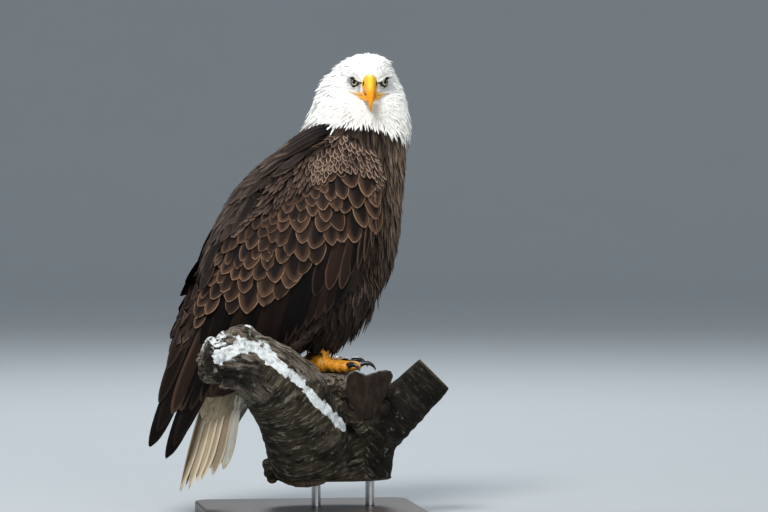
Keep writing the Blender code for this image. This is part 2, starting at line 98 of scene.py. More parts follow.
def keyed(rows):
    """The rows with even keys from 0 to 1 in front of them."""
    rows = np.asarray(rows, float)
    return np.concatenate([np.linspace(0, 1, len(rows))[:, None], rows], 1)


def read_off(table, places):
    """The second values of a table of pairs, on straight lines between them, where the first are given."""
    return np.interp(places, *np.array(table).T)


def full(value, count):
    return np.broadcast_to(np.asarray(value, float), (count,))


def round_angles(count):
    return 2 * np.pi * np.arange(count) / count


def travelled(line):
    """The way along a line from its start to each of its points."""
    return np.concatenate([[0], np.cumsum(np.linalg.norm(np.diff(line, axis=0), axis=1))])


def unit(vectors):
    return vectors / np.maximum(np.linalg.norm(vectors, axis=-1, keepdims=True), 1e-9)


def blend(a, b, share):
    share = np.asarray(share)[..., None]
    return np.asarray(a) * (1 - share) + np.asarray(b) * share


def head_matrix():
    axes = Matrix((FORWARD, ASIDE, UP)).transposed().to_4x4()
    return Matrix.Translation(HEAD_CENTRE) @ axes @ Matrix.Rotation(HEAD_PITCH, 4, "Y")


HEAD = np.array(head_matrix())
HEAD_BACK = np.linalg.inv(HEAD)


def to_head(points):
    """Head coordinates: forward, to the bird's left, up."""
    return points @ HEAD_BACK[:3, :3].T + HEAD_BACK[:3, 3]


def from_head(points):
    return np.asarray(points) @ HEAD[:3, :3].T + HEAD[:3, 3]


def one_side(local):
    """Head coordinates with both sides folded onto the left one."""
    return local * (1, 0, 1) + np.abs(local) * (0, 1, 0)


def wobble(points, scale, seed):
    """Soft noise between about -1 and 1 from a few waves."""
    made = np.zeros(len(points))
    draw = np.random.default_rng(seed)
    for _ in range(6):
        wave = draw.normal(size=3) / scale
        made += np.sin(points @ wave + draw.uniform(0, 6.3))
    return made / 3


# ---------------------------------------------------------------- shader nodes

class Val:
    """A socket that takes part in Python sums."""

    def __init__(self, shader, socket):
        self.shader, self.socket = shader, socket

    def math(self, operation, *others):
        return self.shader.node("ShaderNodeMath", {"operation": operation}, [self, *others])

    def __add__(self, other):
        return self.math("ADD", other)

    def __mul__(self, other):
        return self.math("MULTIPLY", other)

    def __sub__(self, other):
        return self.math("SUBTRACT", other)

    def __truediv__(self, other):
        return self.math("DIVIDE", other)

    def __rsub__(self, other):
        return self.shader.node("ShaderNodeMath", {"operation": "SUBTRACT"}, [other, self])

    __radd__ = __add__
    __rmul__ = __mul__

    def smooth(self, low, high):
        """0 below low and 1 above high."""
        values = {"Value": self, "From Min": low, "From Max": high}
        return self.shader.node("ShaderNodeMapRange", {"interpolation_type": "SMOOTHSTEP"}, values)


class Shader:
    """A material with a Principled shader and a short way to add nodes."""

    def __init__(self, name, roughness=0.6, **constants):
        self.material = bpy.data.materials.new(name)
        self.material.use_nodes = True
        self.tree = self.material.node_tree
        self.principled = self.tree.nodes["Principled BSDF"]
        self.principled.inputs["Roughness"].default_value = roughness
        for socket, value in constants.items():
            self.principled.inputs[socket.replace("_", " ")].default_value = value

    def node(self, kind, settings, values, output=0):
        made = self.tree.nodes.new(kind)
        for key, value in settings.items():
            setattr(made, key, value)
        items = values.items() if isinstance(values, dict) else enumerate(values)
        for key, value in items:
            self.put(made.inputs[key], value)
        return Val(self, made.outputs[output])

    def put(self, socket, value):
        if isinstance(value, Val):
            self.tree.links.new(value.socket, socket)
        elif value is not None:
            if isinstance(value, tuple) and socket.type == "RGBA":
                value = (*value[:3], 1)
            socket.default_value = value

    def attribute(self, name, output="Fac"):
        return self.node("ShaderNodeAttribute", {"attribute_name": name}, {}, output)

    def parts(self, name):
        """The three numbers of a vector attribute."""
        vector = self.attribute(name, "Vector")
        split = self.tree.nodes.new("ShaderNodeSeparateXYZ")
        self.put(split.inputs[0], vector)
        return [Val(self, output) for output in split.outputs]

    def place(self):
        return self.node("ShaderNodeTexCoord", {}, {}, "Object")

    def stretched(self, vector, scale):
        return self.node("ShaderNodeMapping", {}, {"Vector": vector, "Scale": scale})

    def noise(self, vector, scale, detail=3.0, rough=0.55):
        values = {"Vector": vector, "Scale": scale, "Detail": detail, "Roughness": rough}
        return self.node("ShaderNodeTexNoise", {}, values)

    def vector(self, x, y, z):
        return self.node("ShaderNodeCombineXYZ", {}, [x, y, z])

    def mix(self, share, a, b, kind="MIX"):
        made = self.tree.nodes.new("ShaderNodeMix")
        made.data_type = "RGBA"
        made.blend_type = kind
        self.put(made.inputs["Factor"], share)
        # The node has sockets of the same names for other kinds of data; these are the colours
        first, second, result = made.inputs[6], made.inputs[7], made.outputs[2]
        self.put(first, a)
        self.put(second, b)
        return Val(self, result)

    def layered(self, colour, rows):
        """The colour with each row's colour mixed over it by the row's share."""
        for share, over in rows:
            colour = self.mix(share, colour, over)
        return colour

    def shade(self, colour, amount):
        """The colour times a number."""
        return self.mix(1.0, colour, self.vector(amount, amount, amount), "MULTIPLY")

    def out(self, colour=None, roughness=None, height=None, distance=0.001, strength=1.0):
        if colour is not None:
            self.put(self.principled.inputs["Base Color"], colour)
        if roughness is not None:
            self.put(self.principled.inputs["Roughness"], roughness)
        if height is not None:
            values = {"Strength": strength, "Distance": distance, "Height": height}
            bump = self.node("ShaderNodeBump", {}, values)
            self.put(self.principled.inputs["Normal"], bump)
        return self.material


# ---------------------------------------------------------------- meshes

def mesh_of(name, bm):
    """A smooth mesh made of a bmesh, which it uses up."""
    mesh = bpy.data.meshes.new(name)
    bm.to_mesh(mesh)
    bm.free()
    mesh.shade_smooth()
    return mesh


def vertex_points(mesh):
    return np.array([v.co for v in mesh.vertices])


def show(name, mesh, material, replaces=()):
    """Makes a visible piece that rides on the one body."""
    obj = bpy.data.objects.new(name, mesh)
    bpy.context.scene.collection.objects.link(obj)
    mesh.materials.clear()
    mesh.materials.append(material)
    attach(obj, "root")
    if replaces:
        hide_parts(*replaces)


def point_attribute(mesh, name, kind, values):
    made = mesh.attributes.new(name, kind, "POINT")
    key = "color" if kind == "FLOAT_COLOR" else "vector" if kind == "FLOAT_VECTOR" else "value"
    made.data.foreach_set(key, np.ascontiguousarray(values, np.float32).ravel())


def with_alpha(colours):
    return np.concatenate([colours, np.ones((*colours.shape[:-1], 1))], -1)


def mesh_from(name, verts, quads):
    mesh = bpy.data.meshes.new(name)
    mesh.vertices.add(len(verts))
    mesh.vertices.foreach_set("co", np.ascontiguousarray(verts, np.float32).ravel())
    mesh.loops.add(quads.size)
    mesh.loops.foreach_set("vertex_index", np.ascontiguousarray(quads, np.int32).ravel())
    mesh.polygons.add(len(quads))
    mesh.polygons.foreach_set("loop_start", np.arange(0, quads.size, 4, dtype=np.int32))
    mesh.update(calc_edges=True)
    mesh.validate()
    mesh.shade_smooth()
    return mesh


def add_bake_map(mesh, per_vertex):
    """A UV map named OFBake from one place for each vertex."""
    loops = np.zeros(len(mesh.loops), np.int32)
    mesh.loops.foreach_get("vertex_index", loops)
    layer = mesh.uv_layers.new(name="OFBake")
    layer.data.foreach_set("uv", np.ascontiguousarray(per_vertex[loops], np.float32).ravel())


def unwrapped(points):
    """The skin unrolled round an upright line through the body: turn and height."""
    z = points[:, 2]
    middle = np.interp(z, [0.15, 0.30, 0.45, 0.60, 0.70, 0.80], [0.16, 0.08, 0.02, -0.04, -0.09, -0.10])
    turn = np.arctan2(points[:, 0], points[:, 1] - middle) / (2 * math.pi) + 0.5
    return np.stack([0.02 + 0.96 * turn, 0.02 + 0.96 * np.clip((z - 0.04) / 0.80, 0, 1)], -1)


class Feathers:
    """Feathers of one tract: closed thin vanes joined into one mesh."""

    def __init__(self, name, rows, columns):
        self.name, self.rows, self.columns = name, rows, columns
        self.batches = []

    def add(self, path, normals, width, shape, tint, rim=0.0, thick=0.0007, cup=0.15, ragged=0.05,
            patch=0.003, bake=None, roll=0.0):
        """Adds feathers along centre lines, count x rows x 3, with the way out of the skin at each point.

        shape(v) is the share of the width at each share of the length. rim is how plain the rim shows,
        cup how much the edges bend down, ragged how uneven the tip is, patch the size on the bake map.
        """
        rows, columns = self.rows, self.columns
        # A feather that folds back on itself round a thin edge is left out
        chord = np.linalg.norm(path[:, -1] - path[:, 0], axis=1)
        arc = np.linalg.norm(np.diff(path, axis=1), axis=2).sum(1)
        facing_alike = (normals[:, 0] * normals[:, -1]).sum(1) > 0.1
        good = (chord > 0.90 * arc) & facing_alike
        width, rim, thick, patch = (full(given, len(good))[good] for given in (width, rim, thick, patch))
        tint = np.broadcast_to(np.asarray(tint, float), (len(good), 3))[good]
        path, normals, length = path[good], normals[good], arc[good]
        bake = bake if bake is None else bake[good]
        count = len(path)
        if not count:
            return
        along = unit(np.gradient(path, axis=1))
        across = unit(np.cross(normals, along))
        out = np.cross(along, across)
        across, out = across + out * roll, out - across * roll
        x = np.linspace(-1, 1, columns)
        v = lengthwise(rows)
        half = width[:, None] / 2 * shape(v)[None]
        reach = RNG.normal(0, 1, (count, columns)) * ragged * length[:, None]
        flat = path[:, :, None] + across[:, :, None] * (half[..., None] * x)[..., None]
        flat = flat - out[:, :, None] * (cup * half[..., None] * x**2)[..., None]
        flat = flat + along[:, :, None] * (reach[:, None] * v[None, :, None] ** 3)[..., None]
        body = np.sin(np.pi * np.clip(v, 0.02, 0.98)) ** 0.5
        body[0] = body[-1] = 0
        raise_top = thick[:, None, None] * body[None, :, None] * (1 - x**2)[None, None]
        top = flat + out[:, :, None] * raise_top[..., None]

        def grid(values):
            return np.broadcast_to(values, (count, rows, columns))

        grid_x, grid_v = grid(x), grid(v[:, None])
        blade = np.stack([grid_x, grid_v, grid(length[:, None, None])], -1)
        tone = RNG.uniform(0, 1, count)
        facts = np.stack([grid(rim[:, None, None]), grid(tone[:, None, None]), grid(half[..., None])], -1)
        if bake is None:
            root = unwrapped(path[:, 0])[:, None, None]
            bake = root + patch[:, None, None, None] * np.stack([grid_x / 2, grid_v - 0.5], -1)

        def both(upper, under):
            """Every row of the upper side, and of the under side what lies inside the outline."""
            wide = upper.shape[-1]
            inner = under[:, 1:-1, 1:-1].reshape(count, -1, wide)
            return np.concatenate([upper.reshape(count, -1, wide), inner], 1).reshape(-1, wide)

        verts = both(top, flat)
        self.batches.append({
            "verts": verts, "tint": np.repeat(tint, len(verts) // count, 0),
            "blade": both(blade, blade), "facts": both(facts, facts), "bake": both(bake, bake),
        })

    def lay(self, points, normals, flow, length, low, high, width, shape, tint, swell=1.0, free=0.0, **looks):
        """Adds feathers that lie over the skin with the flow, rooted at points on it."""
        paths, outs = laid(points, normals, flow, length, self.rows, low, high, swell, free)
        self.add(paths, outs, width, shape, tint, **looks)

    def quads(self):
        """The faces of one feather, and its vertices that lie on the outline."""
        rows, columns = self.rows, self.columns
        top = np.arange(rows * columns).reshape(rows, columns)
        under = top.copy()
        under[1:-1, 1:-1] = rows * columns + np.arange((rows - 2) * (columns - 2)).reshape(rows - 2, -1)
        up = np.stack([top[:-1, :-1], top[1:, :-1], top[1:, 1:], top[:-1, 1:]], -1).reshape(-1, 4)
        down = np.stack([under[:-1, :-1], under[:-1, 1:], under[1:, 1:], under[1:, :-1]], -1).reshape(-1, 4)
        outline = np.zeros(rows * columns + (rows - 2) * (columns - 2), bool)
        outline[(top == under).ravel().nonzero()[0]] = True
        return np.concatenate([up, down]), outline

    def made(self, material, slot, replaces=()):
        """Joins the feathers into one visible piece."""
        joined = {key: np.concatenate([b[key] for b in self.batches]) for key in self.batches[0]}
        quads, outline = self.quads()
        starts = np.arange(0, len(joined["verts"]), len(outline))
        every = (quads[None] + starts[:, None, None]).reshape(-1, 4)
        mesh = mesh_from(self.name, joined["verts"], every)
        ends = np.zeros(len(mesh.edges) * 2, np.int32)
        mesh.edges.foreach_get("vertices", ends)
        crisp = outline[ends.reshape(-1, 2) % len(outline)].all(1)
        mesh.attributes.new("sharp_edge", "BOOLEAN", "EDGE").data.foreach_set("value", crisp)
        point_attribute(mesh, "blade", "FLOAT_VECTOR", joined["blade"])
        point_attribute(mesh, "facts", "FLOAT_VECTOR", joined["facts"])
        point_attribute(mesh, "tint", "FLOAT_COLOR", with_alpha(joined["tint"]))
        add_bake_map(mesh, joined["bake"])
        show(self.name, mesh, material, replaces)


def lengthwise(rows):
    """Shares of a feather's length, closer together towards the tip."""
    return 1 - (1 - np.linspace(0, 1, rows)) ** 1.4


def vane(base, widest, tip, power=0.6):
    """The shape of a feather with a rounded tip: the share of its width at each share of its length."""
    def shape(v):
        rise = base + (1 - base) * np.sin(np.clip(v / widest, 0, 1) * math.pi / 2)
        fall = np.clip((v - widest) / (1 - widest), 0, 1)
        return rise * np.maximum((1 - fall**2) ** power, tip)
    return shape


def spear(base, widest, tip):
    """The shape of a pointed feather."""
    def shape(v):
        rise = base + (1 - base) * np.clip(v / widest, 0, 1)
        fall = np.clip((v - widest) / (1 - widest), 0, 1)
        return rise * (1 - fall * (1 - tip)) ** 0.8
    return shape


# ---------------------------------------------------------------- skin

# The lower edge of the white neck: distance back, height
WHITE_EDGE = [
    (-0.20, 0.656), (-0.165, 0.662), (-0.10, 0.676), (-0.045, 0.680), (-0.02, 0.688), (0.01, 0.700),
    (0.05, 0.724),
]
# The mantle's lower edge where it overhangs the folded wing: distance back, height
OVERHANG = np.array([
    (-0.036, 0.671), (0.007, 0.6475), (0.054, 0.6205), (0.085, 0.590), (0.112, 0.566), (0.140, 0.5355),
    (0.168, 0.484), (0.190, 0.432), (0.205, 0.398),
])
# The nodes that the skin takes the place of
FLESH = ["head", "neck", "trunk", "thigh_right", "thigh_left", "wing_right", "wing_left"]


def white_share(points):
    """1 on the white head and neck and about the tail, 0 on the brown body."""
    top = ramp(points[:, 2] - read_off(WHITE_EDGE, points[:, 1]), 0.004, 0.014)
    vent = ramp(points[:, 2], 0.252, 0.242) * ramp(points[:, 1], 0.075, 0.095)
    rump = ramp(points[:, 2], 0.285, 0.270) * ramp(points[:, 1], 0.165, 0.175)
    tail_side = np.abs(points[:, 0]) + 0.024 * ramp(points[:, 2], 0.222, 0.238)
    return np.maximum(top, np.maximum(vent, rump) * ramp(tail_side, 0.080, 0.068))


def brown_tint(points):
    """The brown of the body by place: a breast paler towards its front edge, which is a painted highlight, a
    greyer mantle, and a blackish belly, which is partly painted shade.
    """
    y, z = points[:, 1], points[:, 2]
    colour = np.broadcast_to(np.array(BROWN), points.shape)
    # A painted highlight along the breast's front edge
    colour = blend(colour, (0.108, 0.079, 0.063), ramp(y, -0.098, -0.142) * ramp(z, 0.46, 0.60))
    # The belly darker: partly its own colour, partly painted shade beneath the body
    colour = blend(colour, (0.022, 0.0155, 0.0125), ramp(z, 0.52, 0.38) * ramp(y, 0.06, -0.02))
    return blend(colour, GREY_BROWN, ramp(y, 0.00, 0.06) * ramp(z, 0.42, 0.52) * 0.7)


def coat_tint(points):
    return blend(brown_tint(points), WHITE, white_share(points))


def gathered(names, distance):
    """The named solids in one bmesh, each grown outwards by a distance."""
    joined = bmesh.new()
    for name in names:
        bm = bmesh.new()
        bm.from_mesh(NODES[name].data)
        bmesh.ops.remove_doubles(bm, verts=bm.verts, dist=1e-5)
        bmesh.ops.recalc_face_normals(bm, faces=bm.faces)
        bm.normal_update()
        moves = [vert.normal * distance for vert in bm.verts]
        for vert, move in zip(bm.verts, moves):
            vert.co += move
        joined.from_mesh(mesh_of("grown", bm))
    return joined


def remeshed(name, bm, voxel, rounds):
    """One closed surface round overlapping solids, smoothed; its biggest island only."""
    obj = bpy.data.objects.new(name, mesh_of(name, bm))
    bpy.context.scene.collection.objects.link(obj)
    remesh = obj.modifiers.new("Remesh", "REMESH")
    remesh.mode = "VOXEL"
    remesh.voxel_size = voxel
    soften = obj.modifiers.new("Smooth", "SMOOTH")
    soften.factor = 0.5
    soften.iterations = rounds
    bpy.context.view_layer.update()
    made = bpy.data.meshes.new_from_object(obj.evaluated_get(bpy.context.evaluated_depsgraph_get()))
    bpy.data.objects.remove(obj)
    bm = bmesh.new()
    bm.from_mesh(made)
    keep_biggest(bm)
    return bm


def keep_biggest(bm):
    """Leaves only the island with the most vertices."""
    left, islands = set(bm.verts), []
    while left:
        start = left.pop()
        island, front = {start}, [start]
        while front:
            vert = front.pop()
            for edge in vert.link_edges:
                other = edge.other_vert(vert)
                if other in left:
                    left.discard(other)
                    island.add(other)
                    front.append(other)
        islands.append(island)
    islands.sort(key=len)
    bmesh.ops.delete(bm, geom=[v for island in islands[:-1] for v in island], context="VERTS")


def bm_arrays(bm):
    bm.normal_update()
    points = np.array([v.co for v in bm.verts])
    normals = np.array([v.normal for v in bm.verts])
    return points, normals


def put_points(bm, points):
    for vert, point in zip(bm.verts, points):
        vert.co = point


def coat_depth(points):
    """How deep the skin lies below the feathers' tips."""
    face = np.linalg.norm(to_head(points) - (0.068, 0, -0.010), axis=1)
    head = 0.0012 + 0.0058 * ramp(face, 0.012, 0.085)
    body = np.full(len(points), 0.0075)
    return np.where(points[:, 2] > HEAD_Z, head, body)


def sunk(points, normals, tree):
    """The skin's points, moved in by the coat's depth and less where the form is thin."""
    depth = coat_depth(points)
    for i, (point, normal) in enumerate(zip(points, normals)):
        inside = Vector(point) - Vector(normal) * 2e-4
        hit = tree.ray_cast(inside, -Vector(normal), 0.06)
        if hit[0] is not None:
            depth[i] = min(depth[i], max(hit[3] / 2 - 0.0012, 0.0004))
    return points - normals * depth[:, None]


# The brow's ridge, in head coordinates
BROW = np.array([
    (0.0615, 0.0165, 0.0035), (0.0560, 0.0235, 0.0058), (0.0505, 0.0300, 0.0074), (0.0430, 0.0360, 0.0090),
    (0.0330, 0.0405, 0.0108),
])
# The yellow fold at the mouth's corner: forward, aside, up, half its height
GAPE = np.array([
    (0.0620, 0.0135, -0.0195, 0.0078), (0.0580, 0.0178, -0.0188, 0.0042), (0.0525, 0.0232, -0.0182, 0.0019),
    (0.0470, 0.0278, -0.0183, 0.0012), (0.0415, 0.0322, -0.0188, 0.0009), (0.0372, 0.0353, -0.0192, 0.0004),
])


def line_distance(local, line):
    """Distance from a line of points, height over it and share of its length."""
    best, rise, share = np.full(len(local), 1e9), np.zeros(len(local)), np.zeros(len(local))
    spans = len(line) - 1
    for i in range(spans):
        a, b = line[i], line[i + 1]
        t = np.clip((local - a) @ (b - a) / ((b - a) @ (b - a)), 0, 1)
        near = a + t[:, None] * (b - a)
        gap = np.linalg.norm(local - near, axis=1)
        closer = gap < best
        best = np.where(closer, gap, best)
        rise = np.where(closer, local[:, 2] - near[:, 2], rise)
        share = np.where(closer, (i + t) / spans, share)
    return best, rise, share


def eye_axis(degrees, up):
    """The way an eye looks: its turn outwards and upwards."""
    a, b = math.radians(degrees), math.radians(up)
    return np.array([math.cos(a) * math.cos(b), math.sin(a) * math.cos(b), math.sin(b)])


LID_AXIS = eye_axis(37, 5)
GAZE_AXIS = eye_axis(33, 7)


def from_eye(local):
    """Distance from the line out through the left eye, and how far along that line."""
    rel = local - np.array(EYE)
    depth = rel @ LID_AXIS
    return np.linalg.norm(rel - depth[:, None] * LID_AXIS, axis=1), depth


def spot(local, centre, high, size):
    """1 at a spot's centre and 0 well away from it; it is higher than wide by a factor."""
    return np.exp(-(np.linalg.norm((local - centre) / (1, 1, high), axis=1) / size) ** 2)


def upright(line):
    """The way along a line at each point, and the way up across it."""
    along = unit(np.gradient(line, axis=0))
    return along, unit(np.array([0, 0, 1.0]) - along * along[:, 2:3])


def loft_mesh(name, rings, join_ends=False):
    """A grid rolled up into a tube through the rings, closed along its seam and at its ends."""
    rings = np.asarray(rings)
    steps, count = rings.shape[:2]
    long = steps if join_ends else steps - 1
    bm = bmesh.new()
    bmesh.ops.create_grid(bm, x_segments=long, y_segments=count, size=1)
    for i, vert in enumerate(bm.verts):
        across, along = divmod(i, long + 1)
        vert.co = rings[along % steps, across % count]
    bmesh.ops.remove_doubles(bm, verts=bm.verts, dist=1e-7)
    if not join_ends:
        ends = [e for e in bm.edges if e.is_boundary]
        caps = bmesh.ops.holes_fill(bm, edges=ends, sides=0)["faces"]
        bmesh.ops.poke(bm, faces=caps)
    bmesh.ops.recalc_face_normals(bm, faces=bm.faces)
    return mesh_of(name, bm)


def face_sculpted(points):
    """Leans the crown over the bill, flattens the sockets round the eyes and sinks the lores."""
    y, z = points[:, 1], points[:, 2]
    lean = 0.0090 * ramp(z, 0.781, 0.797) + 0.0045 * ramp(z, 0.765, 0.779) * ramp(y, -0.075, -0.045)
    rise = 0.0020 * np.exp(-((y + 0.095) / 0.022) ** 2) * ramp(z, 0.785, 0.800)
    local = to_head(points + np.stack([0 * y, -lean, rise], -1))
    for sign in (-1, 1):
        mine = local * (1, sign, 1)
        aside, depth = from_eye(mine)
        near = (aside < 0.015) & (depth > -0.004) & (mine[:, 1] > 0.004)
        level = 0.0048 - 0.12 * np.maximum(aside - 0.0065, 0)
        pull = ramp(aside, 0.0135, 0.0085) * near
        mine = mine + LID_AXIS * (np.minimum(level - depth, 0.0015) * pull)[:, None]
        lore = spot(mine, (0.0580, 0.0175, -0.0020), 1.3, 0.006)
        mine = mine - np.array([0.3, 0.8, 0]) * (0.0014 * lore * (mine[:, 1] > 0.004))[:, None]
        local = np.where((local[:, 1] * sign > 0)[:, None], mine * (1, sign, 1), local)
    return from_head(local)


def lid_rings(sign):
    """A soft fold of skin round the open part of the eyeball, as rings round its section."""
    side = unit(np.cross((0, 0, 1), LID_AXIS))
    top = np.cross(LID_AXIS, side)
    # Degrees beyond the opening, and the share of the eye's radius
    section = [
        (0.0, 1.01), (1.0, 1.075), (6.0, 1.11), (13.0, 1.09), (22.0, 1.02), (30.0, 0.93), (16.0, 0.90),
        (4.0, 0.96),
    ]
    rings = []
    for angle in np.linspace(0, 2 * math.pi, 44, endpoint=False):
        up, along = math.sin(angle), math.cos(angle)
        opening = 47.0 + 5.0 * max(-along, 0) ** 6
        if up > 0.05:
            opening = min(opening, (25.0 + 8.0 * along) / up)
        ring = []
        for extra, radius in section:
            polar = math.radians(opening + extra)
            heading = LID_AXIS * math.cos(polar) + (top * up + side * along) * math.sin(polar)
            ring.append(from_head((np.array(EYE) + heading * EYE_RADIUS * radius) * (1, sign, 1)))
        rings.append(ring)
    return rings


def brow_rings(sign):
    """The ridge of bone and skin that juts out over each eye, a tapering roll."""
    share = np.linspace(0, 1, 26)
    line = smooth_through(keyed(BROW), share)
    thick = 0.0030 * np.sin(np.pi * np.clip(share * 0.86 + 0.10, 0, 1)) ** 0.7 + 0.0004
    line = line + np.stack([-0.45 * thick, -0.10 * thick, 0.92 * thick], -1)
    angle = round_angles(14)[:, None]
    along, up = upright(line)
    out = np.cross(along, up)
    across = up[:, None] * np.sin(angle) + out[:, None] * np.cos(angle) * 1.15
    rings = line[:, None] + across * thick[:, None, None]
    return from_head(rings * (1, sign, 1))


def skin_tint(points):
    """The coat's colours, with dark bare skin round the eyes and under the brows that is partly painted
    shade, grey lores that are partly painted shade, painted shade round the eye sockets, and a painted shadow
    line under the mantle's edge.
    """
    y, z = points[:, 1], points[:, 2]
    local = one_side(to_head(points))
    front = local[:, 0] > FACE_FRONT
    aside, _ = from_eye(local)
    # Dark bare skin of the lids and under the brow's ridge: partly its own colour, partly painted shade under
    # the brow
    ring = ramp(aside, 0.0118, 0.0088) * front * (z > 0.72)
    gap, rise, _ = line_distance(local, BROW)
    under = ramp(gap, 0.0034, 0.0020) * ramp(rise, 0.0014, 0.0004) * (z > 0.72)
    # Grey lores: partly their own colour, partly painted shade between the eye and the bill
    lore = spot(local, (0.0575, 0.0180, -0.0015), 1.4, 0.0055)
    colour = blend(coat_tint(points), (0.36, 0.34, 0.30), lore * 0.75)
    # Painted shade round the eye sockets, below the brow
    colour = blend(colour, (0.30, 0.27, 0.25), ramp(aside, 0.0160, 0.0105) * front * (rise < 0.001))
    # A painted shadow line on the skin under the mantle's overhanging edge
    edge = ramp(np.abs(z - read_off(OVERHANG, y) + 0.003), 0.012, 0.007) * ramp(y, -0.045, -0.030)
    edge = edge * ramp(y, 0.17, 0.12) * (z < HEAD_Z)
    colour = blend(colour, (0.006, 0.0045, 0.004), edge * 0.85)
    return blend(colour, (0.022, 0.018, 0.016), np.maximum(ring, under))


def make_skin():
    """The skin: the flesh solids in one surface, sunk by the coat's depth, with its face, lids and brows."""
    bm = remeshed("flesh", gathered(FLESH, 0.0007), SKIN_VOXEL, 5)
    points, normals = bm_arrays(bm)
    tree = BVHTree.FromBMesh(bm)
    put_points(bm, sunk(points, normals, tree))
    bmesh.ops.smooth_vert(bm, verts=bm.verts, factor=0.4, use_axis_x=True, use_axis_y=True, use_axis_z=True)
    # Finer faces nearer the eyes
    for reach in (0.055, 0.040):
        points, _ = bm_arrays(bm)
        near = np.linalg.norm(to_head(points) - (0.055, 0, -0.002), axis=1) < reach
        bm.verts.ensure_lookup_table()
        chosen = {bm.verts[i] for i in np.flatnonzero(near)}
        edges = [e for e in bm.edges if e.verts[0] in chosen and e.verts[1] in chosen]
        bmesh.ops.subdivide_edges(bm, edges=edges, cuts=1, use_grid_fill=True, smooth=0.4)
    bmesh.ops.triangulate(bm, faces=[f for f in bm.faces if len(f.verts) > 4])
    points, _ = bm_arrays(bm)
    put_points(bm, face_sculpted(points))
    for sign in SIDES.values():
        bm.from_mesh(loft_mesh("lid", lid_rings(sign), True))
        bm.from_mesh(loft_mesh("brow", brow_rings(sign)))
    return mesh_of("skin", bm)


def skin_material():
    shader = Shader("skin", 0.8, Specular_IOR_Level=0.1)
    place = shader.place()
    tint = shader.attribute("tint", "Color")
    fine = shader.noise(place, 900.0, 3.0)
    soft = shader.noise(place, 60.0, 3.0)
    colour = shader.shade(tint, 0.72 + fine * 0.32 + soft * 0.24)
    return shader.out(colour, None, fine + soft, 0.0006, 0.6)


SKIN = make_skin()
SKIN_POINTS = vertex_points(SKIN)
point_attribute(SKIN, "tint", "FLOAT_COLOR", with_alpha(skin_tint(SKIN_POINTS)))
add_bake_map(SKIN, unwrapped(SKIN_POINTS))
show("skin", SKIN, skin_material(), FLESH)
SKIN_TREE = BVHTree.FromPolygons([v.co for v in SKIN.vertices], [p.vertices for p in SKIN.polygons])


def nearest(points):
    """The nearest places on the skin, and the way out there."""
    places, normals = np.empty_like(points), np.empty_like(points)
    for i, point in enumerate(points):
        place, normal, _, _ = SKIN_TREE.find_nearest(Vector(point))
        places[i], normals[i] = place, normal
    return places, normals


def skin_samples():
    """The skin's triangles as numbers of their corners, its vertices' normals, and the triangles' areas."""
    SKIN.calc_loop_triangles()
    corners = np.array([t.vertices for t in SKIN.loop_triangles])
    normals = np.array([v.normal for v in SKIN.vertices])
    a, b, c = (SKIN_POINTS[corners[:, i]] for i in range(3))
    area = np.linalg.norm(np.cross(b - a, c - a), axis=1) / 2
    return corners, normals, area


CORNERS, VERTEX_NORMALS, AREAS = skin_samples()
# How many places are tried in an area of one spacing squared
TRIES_PER_CELL = 7


def scatter(inside, spacing, seed):
    """Places on the skin where inside(points, normals) is true, no nearer than a spacing."""
    draw = np.random.default_rng(seed)
    centres = SKIN_POINTS[CORNERS].mean(1)
    facing = unit(VERTEX_NORMALS[CORNERS].mean(1))
    chosen = np.flatnonzero(inside(centres, facing))
    if not len(chosen):
        return np.zeros((0, 3)), np.zeros((0, 3))
    share = AREAS[chosen]
    tries = int(share.sum() / spacing**2 * TRIES_PER_CELL)
    picked = draw.choice(chosen, tries, p=share / share.sum())
    r, s = np.sqrt(draw.uniform(size=tries)), draw.uniform(size=tries)
    weights = np.stack([1 - r, r * (1 - s), r * s], -1)[..., None]
    points = (SKIN_POINTS[CORNERS[picked]] * weights).sum(1)
    normals = unit((VERTEX_NORMALS[CORNERS[picked]] * weights).sum(1))
    cells, kept = {}, []
    keys = np.floor(points / spacing).astype(int)
    around = [(a, b, c) for a in (-1, 0, 1) for b in (-1, 0, 1) for c in (-1, 0, 1)]

    def is_clear(key, point):
        for a, b, c in around:
            for other in cells.get((key[0] + a, key[1] + b, key[2] + c), ()):
                gap = points[other] - point
                if gap @ gap < spacing * spacing:
                    return False
        return True

    for i, (key, point) in enumerate(zip(map(tuple, keys), points)):
        if is_clear(key, point):
            cells.setdefault(key, []).append(i)
            kept.append(i)
    return points[kept], normals[kept]


def laid(points, normals, flow, length, rows, low, high, swell=1.0, free=0.0):
    """Centre lines that run over the skin with the flow, from low to high above it.

    free is the share of the last stretch that goes straight on, off the skin.
    """
    count = len(points)
    length, low, high, free = (full(given, count) for given in (length, low, high, free))
    paths, outs = np.empty((count, rows, 3)), np.empty((count, rows, 3))
    place, out, heading = points, normals, None
    shares = np.append(lengthwise(rows), 1.0)
    for k in range(rows):
        v = shares[k]
        paths[:, k] = place + out * (low + (high - low) * v**swell)[:, None]
        outs[:, k] = out
        wish = flow(place, out)
        wish = unit(wish - out * (wish * out).sum(1, keepdims=True))
        heading = wish if heading is None else unit(heading + wish)
        step = place + heading * (length * (shares[k + 1] - v))[:, None]
        found, normal = nearest(step)
        loose = (ramp(v, 1 - free, 1 - free + 0.05) * (free > 0))[:, None]
        place = found * (1 - loose) + step * loose
        normal = unit(out * 0.5 + normal * 0.5)
        out = unit(out * loose + normal * (1 - loose))
    return paths, outs


# ---------------------------------------------------------------- lie of the feathers

BILL_MIDDLE = np.array([0.072, 0.0, -0.006])


